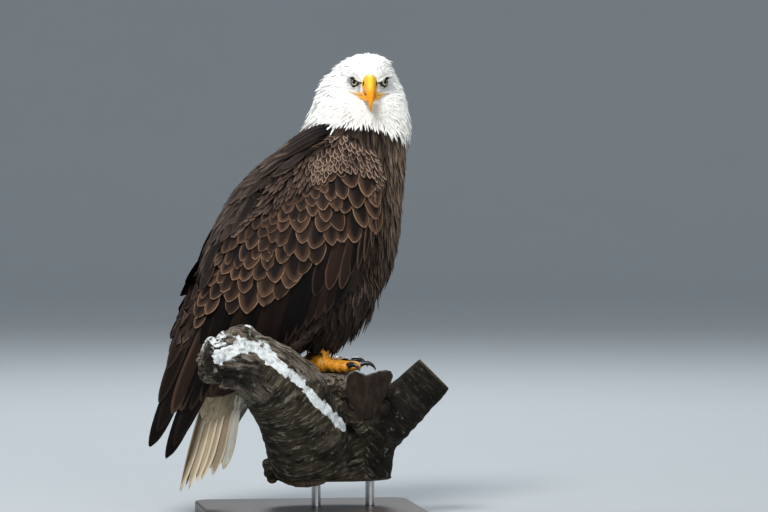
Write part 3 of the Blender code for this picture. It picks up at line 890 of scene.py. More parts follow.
def head_flow(points, normals):
    """Feathers run away from the bill, and further back also down the neck."""
    local = to_head(points)
    away = local - BILL_MIDDLE
    distance = np.linalg.norm(away, axis=1)
    world = unit(away) @ HEAD[:3, :3].T
    back = ramp(distance, 0.035, 0.13)
    down = np.array([0.0, 0.10, -1.0])
    return unit(world * (1.05 - 0.9 * back)[:, None] + down * (0.25 + 1.1 * back)[:, None])


def downward(back):
    """A flow down, and backwards by a share or by the share that back(y, z) gives."""
    def flow(points, normals):
        share = back(points[:, 1], points[:, 2]) if callable(back) else full(back, len(points))
        return np.stack([0 * share, share, 0 * share - 1], -1)
    return flow


def body_back(y, z):
    return 0.10 + 0.75 * ramp(y, -0.05, 0.10) + 0.9 * ramp(z, 0.36, 0.24) * ramp(y, -0.08, 0.0)


def wing_back(y, z):
    return 0.06 + 0.50 * ramp(y, -0.07, 0.16)


def jittered(flow, amount, seed, clump=0.0):
    """The flow with a lean of its own for each feather, and a lean shared by its neighbours."""
    draw = np.random.default_rng(seed)
    lean = {}

    def bent(points, normals):
        if "by" not in lean:
            own = draw.normal(0, amount, len(points))
            lean["by"] = (own + clump * wobble(points, 0.0075, seed))[:, None]
        wish = unit(flow(points, normals))
        return wish + np.cross(normals, wish) * lean["by"]
    return bent


# ---------------------------------------------------------------- plumage materials

def plumage_material(name, rough, rim_colour, zone=None, barb=0.16, root=0.55, spread=0.35, shaft=0.0,
                     rim_width=1.0, streak=0.0, clear=(0.05, 0.55), gloss=0.08):
    """Feathers with fine barbs, a shaft, painted shade at the root where it lies under the feathers above, a
    zone of another colour round the edge and a rim.

    barb and streak are how plain the barbs across and the lines along the vane show, root is the share
    of the colour left in the root's painted shade, which clears between the two shares of the length
    given as clear, and spread is how much one feather's tone differs from another's.
    """
    shader = Shader(name, rough, Specular_IOR_Level=gloss)
    x, v, length = shader.parts("blade")
    rim, tone, half = shader.parts("facts")
    tint = shader.attribute("tint", "Color")
    ax = x.math("ABSOLUTE")
    phase = v * length - ax * half * 0.9
    strands = shader.noise(shader.vector(phase * 1500.0, tone * 40.0, x * 0.8), 1.0, 2.0)
    lines = shader.noise(shader.vector(x * half * 700.0, v * 1.5, tone * 40.0), 1.0, 2.0)
    blotch = shader.noise(shader.place(), 60.0, 3.0)
    light = (1 - spread / 2) + tone * spread + (strands - 0.5) * (barb * 2) + (blotch - 0.5) * 0.30
    # Painted shade at the root, where each feather lies under the ones above it
    light = light * (root + v.smooth(*clear) * (1 - root)) + (lines - 0.5) * streak
    shaft_line = (1 - ax.smooth(0.02, 0.09)) * shaft
    gap = ((1 - ax) * half).math("MINIMUM", (1 - v) * length)
    if zone:
        inside = 1 - (gap / (length * 0.20)).smooth(0.15, 1.0)
        tint = shader.mix(inside * (0.30 + tone * 0.65), tint, zone)
    colour = shader.shade(tint, light + shaft_line)
    edge = 1 - (gap / (length * 0.028 * rim_width + 0.0004)).smooth(0.3, 1.0)
    edge = edge * rim * v.smooth(0.15, 0.5) * (0.8 + (strands - 0.5) * 0.9)
    colour = shader.mix(edge, colour, rim_colour)
    return shader.out(colour, None, strands * 0.6 + lines * 0.4 + shaft_line * 2.0, 0.0003, 0.5)


# ---------------------------------------------------------------- head feathers

def from_bill(points):
    """Distance from the middle of the bill's base."""
    return np.linalg.norm(to_head(points) - BILL_MIDDLE, axis=1)


def bare(points):
    """True on the skin that the eyes, lids, bill and gape need clear."""
    side = one_side(to_head(points))
    aside, depth = from_eye(side)
    eye = (aside < 0.0100) & (depth > -0.005)
    gap, rise, share = line_distance(side, BROW)
    under = (gap < 0.0042) & (rise < 0.0010) & (share < 0.9)
    bill = (side[:, 0] > 0.0605) & (side[:, 1] < 0.0155) & (side[:, 2] > -0.033)
    gap, _, share = line_distance(side, GAPE[:, :3])
    gape = gap < np.interp(share, np.linspace(0, 1, len(GAPE)), GAPE[:, 3]) + 0.0008
    return eye | under | bill | gape


# Bands of the head's feathers: nearest and furthest from the bill, spacing, length
HEAD_BANDS = [
    (0.0, 0.024, 0.0013, 0.0042), (0.024, 0.038, 0.0016, 0.0062), (0.038, 0.056, 0.0021, 0.0092),
    (0.056, 0.080, 0.0027, 0.0140), (0.080, 0.40, 0.0036, 0.0220),
]


def make_head_feathers(white):
    """The white feathers of face and crown, larger further from the bill."""
    small = Feathers("face_feathers", 5, 3)
    crown = Feathers("crown_feathers", 5, 3)

    def band(near, far):
        def inside(points, normals):
            away = from_bill(points)
            return (away >= near) & (away < far) & (points[:, 2] > HEAD_Z) & ~bare(points)
        return inside

    for i, (near, far, spacing, length) in enumerate(HEAD_BANDS):
        points, normals = scatter(band(near, far), spacing, 30 + i)
        count = len(points)
        sizes = length * RNG.uniform(0.75, 1.3, count)
        lifted = 0.8 * coat_depth(points) * RNG.uniform(0.5, 0.95, count)
        # Loose tufts, mostly at the nape
        nape = ramp(points[:, 2], 0.81, 0.77) * ramp(points[:, 1], -0.125, -0.095)
        tuft = (RNG.uniform(0, 1, count) < 0.10 + 0.24 * nape) & (near > 0.05) & (points[:, 2] < 0.81)
        lifted = lifted + np.where(tuft, 0.0012 + 0.0018 * nape, 0.0)
        sizes = sizes * np.where(tuft, 1.2, 1.0)
        # Flatter and shorter round the brow
        ridge = ramp(line_distance(one_side(to_head(points)), BROW)[0], 0.010, 0.006)
        lifted, sizes = lifted * (1 - 0.75 * ridge), sizes * (1 - 0.25 * ridge)
        tract = small if far < 0.1 else crown
        tint = face_tint(points) * RNG.uniform(0.95, 1.0, (count, 1))
        loose = np.where(tuft, 0.5, 0.0)
        tract.lay(points, normals, jittered(head_flow, 0.09, i, 0.18), sizes, 0.0002, lifted, sizes * 0.27,
                  spear(0.8, 0.45, 0.08), tint, swell=1.1, free=loose, thick=0.0004, cup=0.22)
    small.made(white, "white_plumage")
    crown.made(white, "white_plumage")


def face_tint(points):
    """White, with a soft grey-buff throat that is painted shade under the chin, grey lores that are partly
    painted shade, painted shade round the eyes, and faint grey streaks of painted shade below and behind the
    mouth's corners.
    """
    local = one_side(to_head(points))
    # Painted shade under the chin
    from_chin = (local - (0.045, 0, -0.056)) / (0.03, 0.024, 0.016)
    chin = np.exp(-(from_chin**2).sum(1))
    tint = blend(WHITE, (0.66, 0.60, 0.50), np.clip(chin * 0.75, 0, 1))
    # Grey lores: partly their own colour, partly painted shade between the eye and the bill
    tint = blend(tint, (0.40, 0.39, 0.33), spot(local, (0.0590, 0.0175, -0.0030), 1.5, 0.0060) * 0.8)
    # Painted shade round the eyes
    aside, _ = from_eye(local)
    tint = blend(tint, (0.50, 0.48, 0.44), ramp(aside, 0.0175, 0.0105) * (local[:, 0] > FACE_FRONT) * 0.55)
    # Grey streaks below and behind the mouth's corners: painted shade
    streak = np.array([(0.060, 0.0150, -0.0285), (0.050, 0.0230, -0.0335), (0.038, 0.0300, -0.0375)])
    gap, _, share = line_distance(local, streak)
    return blend(tint, (0.36, 0.34, 0.31), ramp(gap, 0.0042, 0.0010) * (1 - share) * 0.8)


def make_hackles(white):
    """Long narrow pointed feathers of the neck; the lowest hang over the brown."""
    tract = Feathers("neck_feathers", 7, 3)

    def collar(points, normals):
        above = points[:, 2] - read_off(WHITE_EDGE, points[:, 1])
        return (above > 0.010) & (above < 0.066) & (from_bill(points) > 0.052)

    points, normals = scatter(collar, 0.0039, 50)
    count = len(points)
    y, z = points[:, 1], points[:, 2]
    away, above = from_bill(points), z - read_off(WHITE_EDGE, y)
    sizes = np.clip(above + RNG.normal(0.004, 0.011, count), 0.018, 0.062)
    sizes = np.minimum(sizes, 0.016 + 0.046 * ramp(away, 0.052, 0.095))
    shoulder = ramp(y, -0.020, -0.040) * ramp(y, -0.150, -0.120)
    low = ramp(above, 0.045, 0.020)
    spring = RNG.uniform(0.4, 1.25, count) * (0.5 + 0.5 * ramp(away, 0.055, 0.085)) + 0.7 * shoulder * low
    loose = np.where(RNG.uniform(0, 1, count) < 0.30 + 0.45 * low, 0.35 + 0.2 * shoulder, 0.0)
    tint = blend(face_tint(points), (0.78, 0.75, 0.68), RNG.uniform(0, 0.4, count))
    tract.lay(points, normals, jittered(head_flow, 0.12, 51, 0.26), sizes, 0.0015, 0.0085 * spring,
              sizes * RNG.uniform(0.13, 0.22, count), spear(0.7, 0.45, 0.03), tint, swell=1.3, free=loose,
              thick=0.0008, cup=0.25)
    tract.made(white, "white_plumage")


# ---------------------------------------------------------------- body feathers

# Outlines of the folded wing as seen from the side: height, distance back of its rear and front edges
WING_REAR = [
    (0.10, 0.276), (0.24, 0.260), (0.30, 0.243), (0.35, 0.228), (0.40, 0.208), (0.445, 0.187),
    (0.495, 0.161), (0.547, 0.127), (0.592, 0.088), (0.630, 0.042), (0.656, -0.006), (0.668, -0.036),
]
WING_FRONT = [
    (0.10, 0.25), (0.182, 0.156), (0.235, 0.096), (0.290, 0.038), (0.330, -0.010), (0.372, -0.056),
    (0.430, -0.084), (0.500, -0.102), (0.560, -0.110), (0.612, -0.107), (0.652, -0.085), (0.666, -0.048),
]
# Height, and how far out the wing's outer face begins
WING_SIDE = [(0.15, 0.045), (0.30, 0.070), (0.40, 0.085), (0.50, 0.088), (0.60, 0.072), (0.67, 0.060)]
# The hem of the folded flight feathers: distance back, height
HEM = [
    (-0.092, 0.405), (-0.056, 0.380), (-0.010, 0.350), (0.038, 0.315), (0.096, 0.268),
    (0.140, 0.236), (0.171, 0.224), (0.188, 0.216), (0.206, 0.196), (0.240, 0.186),
]


def on_wing(points, normals):
    """True on the outer faces and edges of the folded wings."""
    x, y, z = points.T
    side = np.abs(x) > read_off(WING_SIDE, z)
    side &= (normals[:, 0] * np.sign(x) > -0.35) | (z > 0.40) | (x < 0)
    front, rear = read_off(WING_FRONT, z), read_off(WING_REAR, z)
    covered = (z > read_off(HEM, y) + 0.020) | (y > 0.12)
    return (y > front - 0.006) & (y < rear + 0.004) & (z < 0.672) & side & covered


def on_thigh(points):
    x, y, z = points.T
    return (z < 0.40) & (y < 0.060) & (np.abs(x) > 0.012)


def is_brown(points):
    return white_share(points) < 0.5


def make_body_feathers(brown):
    """The brown feathers of breast, belly, back and mantle."""
    tract = Feathers("body_feathers", 6, 5)

    def plain(points, normals):
        return is_brown(points) & ~on_wing(points, normals) & ~on_thigh(points)

    def front(points, normals):
        return plain(points, normals) & (points[:, 1] < 0.02)

    def rear(points, normals):
        return plain(points, normals) & (points[:, 1] >= 0.02)

    halves = [(front, 0.0072, 0.036, 0.17, 60), (rear, 0.0115, 0.050, 0.34, 61)]
    for inside, spacing, length, slim, seed in halves:
        points, normals = scatter(inside, spacing, seed)
        count = len(points)
        x, y, z = points.T
        beside = np.abs(x)
        flat = np.minimum(ramp(beside, 0.080, 0.065) + (z > 0.50), 1)
        flat = flat * (1 - 0.5 * ramp(y, 0.15, 0.18) * ramp(beside, 0.03, 0.05))
        sizes = length * RNG.uniform(0.75, 1.3, count) * (0.75 + 0.25 * flat)
        shaggy = ramp(z, 0.46, 0.36) * (y < 0.05) * flat
        high = 0.0070 * RNG.uniform(0.6, 1.2, count)
        high = high * (1 + 1.3 * shaggy * RNG.uniform(0, 1, count)) * (0.35 + 0.65 * flat)
        loose = np.where(RNG.uniform(0, 1, count) < shaggy * 0.5, 0.4, 0.0)
        tint = brown_tint(points) * RNG.uniform(0.40, 1.35, (count, 1))
        # Tan feathers in the breast, more of them at its front edge, where they are partly a painted
        # highlight, and painted shadow in the hollow beside the wing
        edge = ramp(y, -0.108, -0.140)
        tan = RNG.uniform(0, 1, count) < 0.30 + 0.45 * edge
        tan = tan * ramp(z, 0.42, 0.56) * (y < 0.02) * (0.5 + 0.5 * edge)
        tint = blend(tint, (0.210, 0.148, 0.106), tan * RNG.uniform(0.3, 1.0, count))
        # Painted shadow darkens the hollow beside the wing
        painted_wing_shadow = ramp(beside, 0.045, 0.065) * ramp(y, -0.135, -0.116) * (y < 0.02) * ramp(z, 0.47, 0.52)
        tint = tint * (1 - 0.45 * painted_wing_shadow)[:, None]
        tract.lay(points, normals, jittered(downward(body_back), 0.07, seed, 0.14), sizes, 0.0008, high,
                  sizes * slim, vane(0.6, 0.45, 0.20), tint, swell=1.2, free=loose, thick=0.0008,
                  rim=0.40 * RNG.uniform(0.1, 1.4, count), ragged=0.06, cup=0.25, patch=0.005)
    tract.made(brown, "brown_plumage")


def make_trousers(brown):
    """The shaggy dark feathers of the thighs."""
    tract = Feathers("trouser_feathers", 7, 5)

    def thigh(points, normals):
        return on_thigh(points) & ~on_wing(points, normals) & is_brown(points)

    points, normals = scatter(thigh, 0.0074, 70)
    count = len(points)
    sizes = RNG.uniform(0.028, 0.048, count)
    flat = ramp(np.abs(points[:, 0]), 0.082, 0.068)
    high = RNG.uniform(0.005, 0.013, count) * (0.3 + 0.7 * flat)
    tint = np.array([0.017, 0.0120, 0.0100]) * RNG.uniform(0.4, 1.9, (count, 1))
    tract.lay(points, normals, jittered(downward(0.12), 0.10, 71, 0.22), sizes, 0.0008, high, sizes * 0.19,
              spear(0.6, 0.5, 0.10), tint, swell=1.3, free=np.where(flat > 0.5, 0.45, 0.0), thick=0.0008,
              rim=0.15, ragged=0.08, cup=0.25)
    tract.made(brown, "brown_plumage")


# ---------------------------------------------------------------- wings

# Sections of the folded wing's outer face: height, middle's distance back, depth, width
WING_FACE = [
    (0.060, 0.255, 0.070, 0.036), (0.094, 0.245, 0.080, 0.041), (0.130, 0.222, 0.100, 0.050),
    (0.180, 0.185, 0.130, 0.063), (0.240, 0.140, 0.158, 0.081), (0.300, 0.095, 0.178, 0.101),
    (0.372, 0.052, 0.190, 0.123), (0.430, 0.034, 0.190, 0.134), (0.500, 0.008, 0.185, 0.139),
    (0.560, -0.010, 0.167, 0.133), (0.612, -0.030, 0.141, 0.117), (0.668, -0.052, 0.112, 0.092),
]
# The lower edge of the coverts, from the wing's front to its back: distance back, height
COVERT_EDGE = [
    (-0.092, 0.492), (-0.060, 0.484), (-0.030, 0.474), (-0.004, 0.446), (0.042, 0.408),
    (0.084, 0.378), (0.125, 0.364), (0.172, 0.358), (0.212, 0.345),
]
# The top edge of the coverts, under the scapulars
COVERT_TOP = [
    (-0.115, 0.620), (-0.080, 0.655), (-0.040, 0.668), (0.007, 0.645), (0.054, 0.617), (0.085, 0.584),
    (0.112, 0.558), (0.140, 0.525), (0.172, 0.470), (0.212, 0.400),
]


def wing_x(y, z):
    """How far out the wing's outer face is."""
    middle, deep, wide = np.moveaxis(smooth_through(WING_FACE, z), -1, 0)
    off = np.minimum(np.abs(y - middle) / deep, 0.96)
    return wide * (1 - off**2.1) ** (1 / 2.1)


def wing_surface(y, z, sign, raised):
    """Points over the wing's outer face, and the way out of it."""
    step = 0.002
    x = wing_x(y, z)
    slope_y = (wing_x(y + step, z) - wing_x(y - step, z)) / (2 * step)
    slope_z = (wing_x(y, z + step) - wing_x(y, z - step)) / (2 * step)
    out = unit(np.stack([np.ones_like(x), -slope_y, -slope_z], -1))
    points = np.stack([x, y, z], -1) + out * np.asarray(raised)[..., None]
    turn = np.array([sign, 1, 1])
    return points * turn, out * turn


def wing_vanes(starts, headings, length, rows, low, high, sign, bend=0.0, swell=1.0):
    """Centre lines over the wing: starts and headings are count x 2, distance back and height."""
    v = lengthwise(rows)
    length, bend, low, high = (full(given, len(starts))[:, None] for given in (length, bend, low, high))
    side = np.stack([headings[:, 1], -headings[:, 0]], -1)
    bow = bend * (v * v)[None] * length
    flat = starts[:, None] + headings[:, None] * (length * v)[..., None] + side[:, None] * bow[..., None]
    return wing_surface(flat[..., 0], flat[..., 1], sign, low + (high - low) * v**swell)


# Tips of the biggest coverts, as they lie on the wing: distance back, height, width
BIG_COVERTS = [
    (-0.063, 0.483, 0.034), (-0.014, 0.480, 0.031), (0.005, 0.447, 0.037), (0.058, 0.406, 0.042),
    (0.098, 0.375, 0.038), (0.132, 0.365, 0.040), (0.158, 0.363, 0.027), (0.186, 0.359, 0.025),
    (0.211, 0.336, 0.019), (-0.073, 0.509, 0.032), (-0.029, 0.503, 0.029), (0.000, 0.502, 0.032),
    (0.041, 0.501, 0.038), (0.053, 0.418, 0.044), (0.096, 0.390, 0.036), (0.135, 0.398, 0.030),
    (0.165, 0.398, 0.028), (0.199, 0.387, 0.019), (0.186, 0.408, 0.021), (-0.067, 0.542, 0.034),
    (-0.046, 0.533, 0.028), (0.001, 0.540, 0.028), (0.163, 0.428, 0.030), (0.120, 0.437, 0.033),
    (0.031, 0.482, 0.030), (0.086, 0.465, 0.021), (0.086, 0.484, 0.020), (0.086, 0.499, 0.022),
    (0.139, 0.482, 0.023), (0.165, 0.465, 0.025), (0.065, 0.518, 0.025), (-0.061, 0.578, 0.040),
    (-0.095, 0.594, 0.021), (-0.022, 0.587, 0.026), (-0.097, 0.575, 0.017), (-0.099, 0.561, 0.016),
    (0.033, 0.452, 0.034), (-0.038, 0.557, 0.028), (0.112, 0.455, 0.026), (0.190, 0.440, 0.021),
]

COVERT_TRIES = 9000


def covert_share(y, z):
    """0 at the coverts' lower edge and 1 at their top edge, each a smooth curve."""
    low, high = smooth_through(COVERT_EDGE, y)[..., 0], smooth_through(COVERT_TOP, y)[..., 0]
    return (z - low) / (high - low)


def covert_rows():
    """The coverts' tips: the big ones as placed, and others wherever there is room: y, z, width, share."""
    ys = RNG.uniform(-0.104, 0.214, COVERT_TRIES)
    shares = RNG.uniform(0.0, 0.76, COVERT_TRIES)
    low, high = smooth_through(COVERT_EDGE, ys)[..., 0], smooth_through(COVERT_TOP, ys)[..., 0]
    zs = low + (high - low) * shares
    front = ramp(ys, 0.00, -0.05)
    behind = 0.031 - 0.010 * ramp(shares, 0.15, 0.5) - 0.007 * ramp(shares, 0.62, 0.85)
    ahead = 0.034 - 0.005 * ramp(shares, 0.3, 0.6) - 0.012 * ramp(shares, 0.64, 0.78)
    sizes = behind * (1 - front) + ahead * front
    taken = np.array(BIG_COVERTS)
    for y, z, size in zip(ys, zs, sizes):
        reach = 0.5 * (taken[:, 2] + size)
        gap = ((taken[:, 0] - y) / (0.72 * reach)) ** 2 + ((taken[:, 1] - z) / (0.62 * reach)) ** 2
        if gap.min() > 1:
            taken = np.vstack([taken, (y, z, size * RNG.uniform(0.95, 1.2))])
    return np.column_stack([taken, covert_share(taken[:, 0], taken[:, 1])])


def shaded_corner(y, z, high, wide, tall):
    """1 in the shade at the wing's front, right under the mantle's corner."""
    return np.exp(-((y + 0.063) / wide) ** 2 - ((z - high) / tall) ** 2)


def make_coverts(rimmed):
    """The broad rimmed feathers that cover most of the folded wing."""
    tract = Feathers("wing_coverts", 10, 9)
    y, z, wide, share = covert_rows().T
    count = len(y)
    for sign in SIDES.values():
        long = wide * RNG.uniform(1.65, 1.95, count)
        backward = 0.04 + 0.34 * ramp(y, -0.06, 0.18) + RNG.normal(0, 0.11, count)
        headings = unit(np.stack([backward, -np.ones(count)], -1))
        starts = np.stack([y, z], -1) - headings * long[:, None]
        high = ramp(share, 0.52, 0.70)
        lift = (0.0012 + RNG.uniform(0, 0.0024, count) + 0.0010 * ramp(wide, 0.02, 0.035)) * (1 - 0.7 * high)
        paths, outs = wing_vanes(starts, headings, long, tract.rows, -0.0052, lift, sign,
                                 RNG.normal(0, 0.07, count), 1.3)
        small = ramp(wide, 0.022, 0.013)
        behind = ramp(share, 0.45, 0.7) * ramp(y, -0.03, 0.02)
        shade = 1 - 0.6 * shaded_corner(y, z, 0.622, 0.022, 0.018)
        tint = blend(DARK, (0.028, 0.0155, 0.0108), RNG.uniform(0, 0.9, count) ** 1.5)
        tint = blend(tint, (0.017, 0.0120, 0.0105), small * 0.6) * shade[:, None]
        rim = RNG.uniform(0.50, 1.0, count) * (1 - 0.25 * small) * (1 - 0.70 * behind) * shade
        tract.add(paths, outs, wide * 1.02, vane(0.72, 0.48, 0.14, 0.62), tint, thick=0.0009, cup=0.16,
                  rim=rim, ragged=0.012, patch=wide * 0.55)
    tract.made(rimmed, "brown_plumage")


def make_lesser_coverts(fuzzy):
    """Small narrow feathers over the wrist, along the wing's leading edge and under the mantle's edge."""
    tract = Feathers("lesser_coverts", 7, 5)

    def share_of(y, z):
        edge, top = read_off(COVERT_EDGE, y), read_off(COVERT_TOP, y)
        return (z - edge) / (top - edge)

    def inside(points, normals):
        y, z = points[:, 1], points[:, 2]
        leading = (y < -0.092) & (z > 0.570)
        upper = share_of(y, z) > 0.745 + 0.07 * ramp(y, 0.05, 0.10)
        open_air = (z < read_off(OVERHANG, y) - 0.003) | (y < -0.034) | (y > 0.062)
        return on_wing(points, normals) & is_brown(points) & (leading | upper) & open_air

    points, normals = scatter(inside, 0.0060, 80)
    count = len(points)
    y, z = points[:, 1], points[:, 2]
    # Rimmed feathers at the wrist, broad ones far back, and narrow fuzz between them
    wrist = ramp(y, 0.030, -0.010) * ramp(z, 0.585, 0.605)
    broad = ramp(y, 0.070, 0.105)
    fuzz = (1 - wrist) * (1 - broad)
    sizes = 0.0225 * (1 + RNG.uniform(-0.08, 0.08, count) * (1 + fuzz)) * (1 - 0.1 * broad)
    over = np.maximum(ramp(share_of(y, z), 0.92, 0.86), ramp(y, -0.084, -0.090))
    lift = 0.0098 + RNG.uniform(-0.0003, 0.0003, count) * (1 + 3 * fuzz) + 0.0034 * over
    line = read_off(OVERHANG, y)
    # Painted shadow under the mantle's edge and in the wing's front corner; the fuzz is also a little darker
    # in its own colour
    painted_mantle_shadow = ramp(z, line - 0.018, line - 0.010) * ramp(y, -0.045, -0.030)
    shade_and_tone = (1 - 0.9 * painted_mantle_shadow) * (1 - 0.7 * shaded_corner(y, z, 0.634, 0.020, 0.012)) * (1 - 0.2 * fuzz)
    tint = blend((0.014, 0.0102, 0.0098), (0.040, 0.0260, 0.0195), np.maximum(wrist, broad * 0.5))
    tint = tint * (RNG.uniform(0.7, 1.2, count) * shade_and_tone)[:, None]
    streak = (RNG.uniform(0, 1, count) < 0.20) * fuzz
    tint = blend(tint, (0.085, 0.062, 0.050), streak * RNG.uniform(0.3, 0.9, count) * shade_and_tone)
    rim = (0.04 + 0.96 * wrist + 0.20 * broad) * RNG.uniform(0.75, 1.0, count) * shade_and_tone
    slim = 0.41 * (1 - 0.42 * fuzz) + RNG.uniform(-0.03, 0.03, count)
    tract.lay(points, normals, jittered(downward(wing_back), 0.05, 81, 0.12), sizes, 0.0010 + 0.0040 * over,
              lift, sizes * slim, vane(0.75, 0.5, 0.25), tint, rim=rim, ragged=0.015, cup=0.30, patch=0.006)
    tract.made(fuzzy, "brown_plumage")


# Single long feathers of the wing: root's distance back and height, tip's, width, share of brown,
# height of the tip over the wing, and how plainly the rim shows
# Towards the wing's point
PRIMARIES = [
    (0.196, 0.372, 0.274, 0.1235, 0.034, 0.0, -0.0040, 0.030),
    (0.186, 0.380, 0.262, 0.1500, 0.032, 0.1, -0.0020, 0.085),
    (0.156, 0.380, 0.243, 0.1020, 0.034, 0.0, -0.0045, 0.030),
    (0.145, 0.382, 0.232, 0.1240, 0.032, 0.1, -0.0030, 0.085),
    (0.140, 0.390, 0.217, 0.1860, 0.032, 0.0, -0.0010, 0.030),
    (0.172, 0.392, 0.238, 0.1820, 0.032, 1.0, 0.0005, 0.580),
    (0.205, 0.400, 0.260, 0.2030, 0.027, 0.2, 0.0010, 0.140),
    (0.208, 0.410, 0.248, 0.2620, 0.024, 0.5, 0.0015, 0.305),
]
# Along the wing's front edge
FRONT_FEATHERS = [
    (-0.104, 0.590, -0.096, 0.500, 0.009, 0.6, 0.0040, 1.0),
    (-0.102, 0.580, -0.086, 0.474, 0.010, 0.5, 0.0034, 0.9),
    (-0.097, 0.565, -0.073, 0.452, 0.012, 0.3, 0.0026, 0.9),
    (-0.090, 0.555, -0.062, 0.438, 0.014, 0.3, 0.0012, 0.8),
    (-0.080, 0.545, -0.050, 0.428, 0.018, 0.1, -0.0010, 0.5),
    (-0.070, 0.520, -0.034, 0.404, 0.025, 0.8, -0.0012, 0.8),
    (-0.044, 0.510, -0.0115, 0.403, 0.028, 1.0, -0.0006, 0.9),
    (-0.025, 0.500, 0.012, 0.392, 0.028, 0.2, -0.0025, 0.4),
]
# On the far wing, beyond the near wing's back edge
FAR_FEATHERS = [
    (0.146, 0.478, 0.215, 0.3815, 0.028, 0.0, 0.004, 0.1),
    (0.142, 0.455, 0.207, 0.3660, 0.026, 0.0, 0.003, 0.1),
    (0.148, 0.485, 0.205, 0.4040, 0.022, 0.4, 0.006, 0.1),
]
SECONDARIES = 16
# The far wing's primaries lie 14 mm further forward, so that the near wing hides them from the camera
FAR_SHIFT = -0.014


def make_flight_feathers(flight):
    """Secondaries, primaries and the long front feathers of both wings."""
    tract = Feathers("flight_feathers", 16, 7)
    every = []

    def vanes(table, low, sign, bend, shift=0.0):
        root_y, root_z, tip_y, tip_z, wide, brown, high, rim = np.array(table).T
        root, tips = np.stack([root_y + shift, root_z], -1), np.stack([tip_y + shift, tip_z], -1)
        heading = tips - root
        length = np.linalg.norm(heading, axis=1)
        tint = blend(0.75 * np.array(BLACK), (0.023, 0.0125, 0.0088), brown)
        paths, outs = wing_vanes(root, unit(heading), length, tract.rows, low, high, sign, bend)
        every.append((paths, outs, wide, tint, rim))

    for side, sign in SIDES.items():
        y = np.linspace(-0.078, 0.175, SECONDARIES)
        ends = y + 0.044 + 0.010 * ramp(y, 0.0, 0.15)
        brown = RNG.uniform(0, 1, SECONDARIES) ** 3
        roots = smooth_through(COVERT_EDGE, y)[:, 0] + 0.045
        hems = smooth_through(HEM, ends)[:, 0] + RNG.normal(0, 0.004, SECONDARIES)
        high = -0.0045 + 0.0040 * np.linspace(0, 1, SECONDARIES)
        rim = RNG.uniform(0.1, 0.6, SECONDARIES)
        table = np.stack([y, roots, ends, hems, np.full(SECONDARIES, 0.029), brown, high, rim], -1)
        vanes(table, -0.0062, sign, -0.02)
        vanes(PRIMARIES, -0.0065, sign, -0.05, FAR_SHIFT if side == "left" else 0.0)
        vanes(FRONT_FEATHERS, -0.004, sign, 0.05)
    vanes(FAR_FEATHERS, 0.0, SIDES["left"], -0.04)
    total = sum(len(batch[0]) for batch in every)
    done = 0
    for paths, outs, wide, tint, rim in every:
        bake = strips(len(paths), done, total, tract)
        done += len(paths)
        tract.add(paths, outs, wide, vane(0.8, 0.6, 0.10, 0.55), tint, rim=rim, thick=0.0010, cup=0.10,
                  ragged=0.004, bake=bake)
    tract.made(flight, "flight_feathers", ["primaries_right", "primaries_left"])


def strips(count, first, total, tract):
    """A bake map that gives each big feather an upright strip."""
    x = np.linspace(0.06, 0.94, tract.columns)
    v = 0.01 + 0.98 * lengthwise(tract.rows)
    number = first + np.arange(count)
    u = (number[:, None, None] + x) / total
    return np.stack(np.broadcast_arrays(u, v[None, :, None]), -1)


# The long dark feathers at the mantle's front corner, lying over the wing: root's distance back and height,
# tip's, width, height over the skin, lightness. The first, nearly black and lower, is a painted shadow under
# them
SHEAF = [
    (-0.030, 0.6715, 0.060, 0.6165, 0.0110, 0.0155, 0.1),
    (-0.032, 0.6765, 0.057, 0.6265, 0.0150, 0.0205, 0.9),
    (-0.028, 0.6800, 0.050, 0.6355, 0.0140, 0.0200, 0.7),
    (-0.026, 0.6840, 0.044, 0.6450, 0.0145, 0.0175, 1.2),
]
# Rows of scapulars: tips' height over the mantle's edge, length, width, height over the skin, and how far
# along the edge the row starts on the near side
SCAPULAR_ROWS = [
    (-0.005, 0.070, 0.019, 0.0140, 0.116), (0.005, 0.070, 0.019, 0.0150, 0.110),
    (0.014, 0.068, 0.020, 0.0152, 0.104), (0.025, 0.064, 0.020, 0.0150, 0.084),
    (0.037, 0.060, 0.020, 0.0140, 0.060), (0.049, 0.056, 0.020, 0.0130, 0.054),
]


def surface_x(y, z, sign):
    """How far out the skin is at each place on one side, evened out along the way."""
    found = []
    for back, high in zip(y, z):
        hit = SKIN_TREE.ray_cast(Vector((0.3 * sign, back, high)), Vector((-sign, 0, 0)))[0]
        found.append(abs(hit[0]) if hit is not None else 0.06)
    share = np.linspace(0, 1, len(y))
    return np.polyval(np.polyfit(share, found, 2), share) * sign


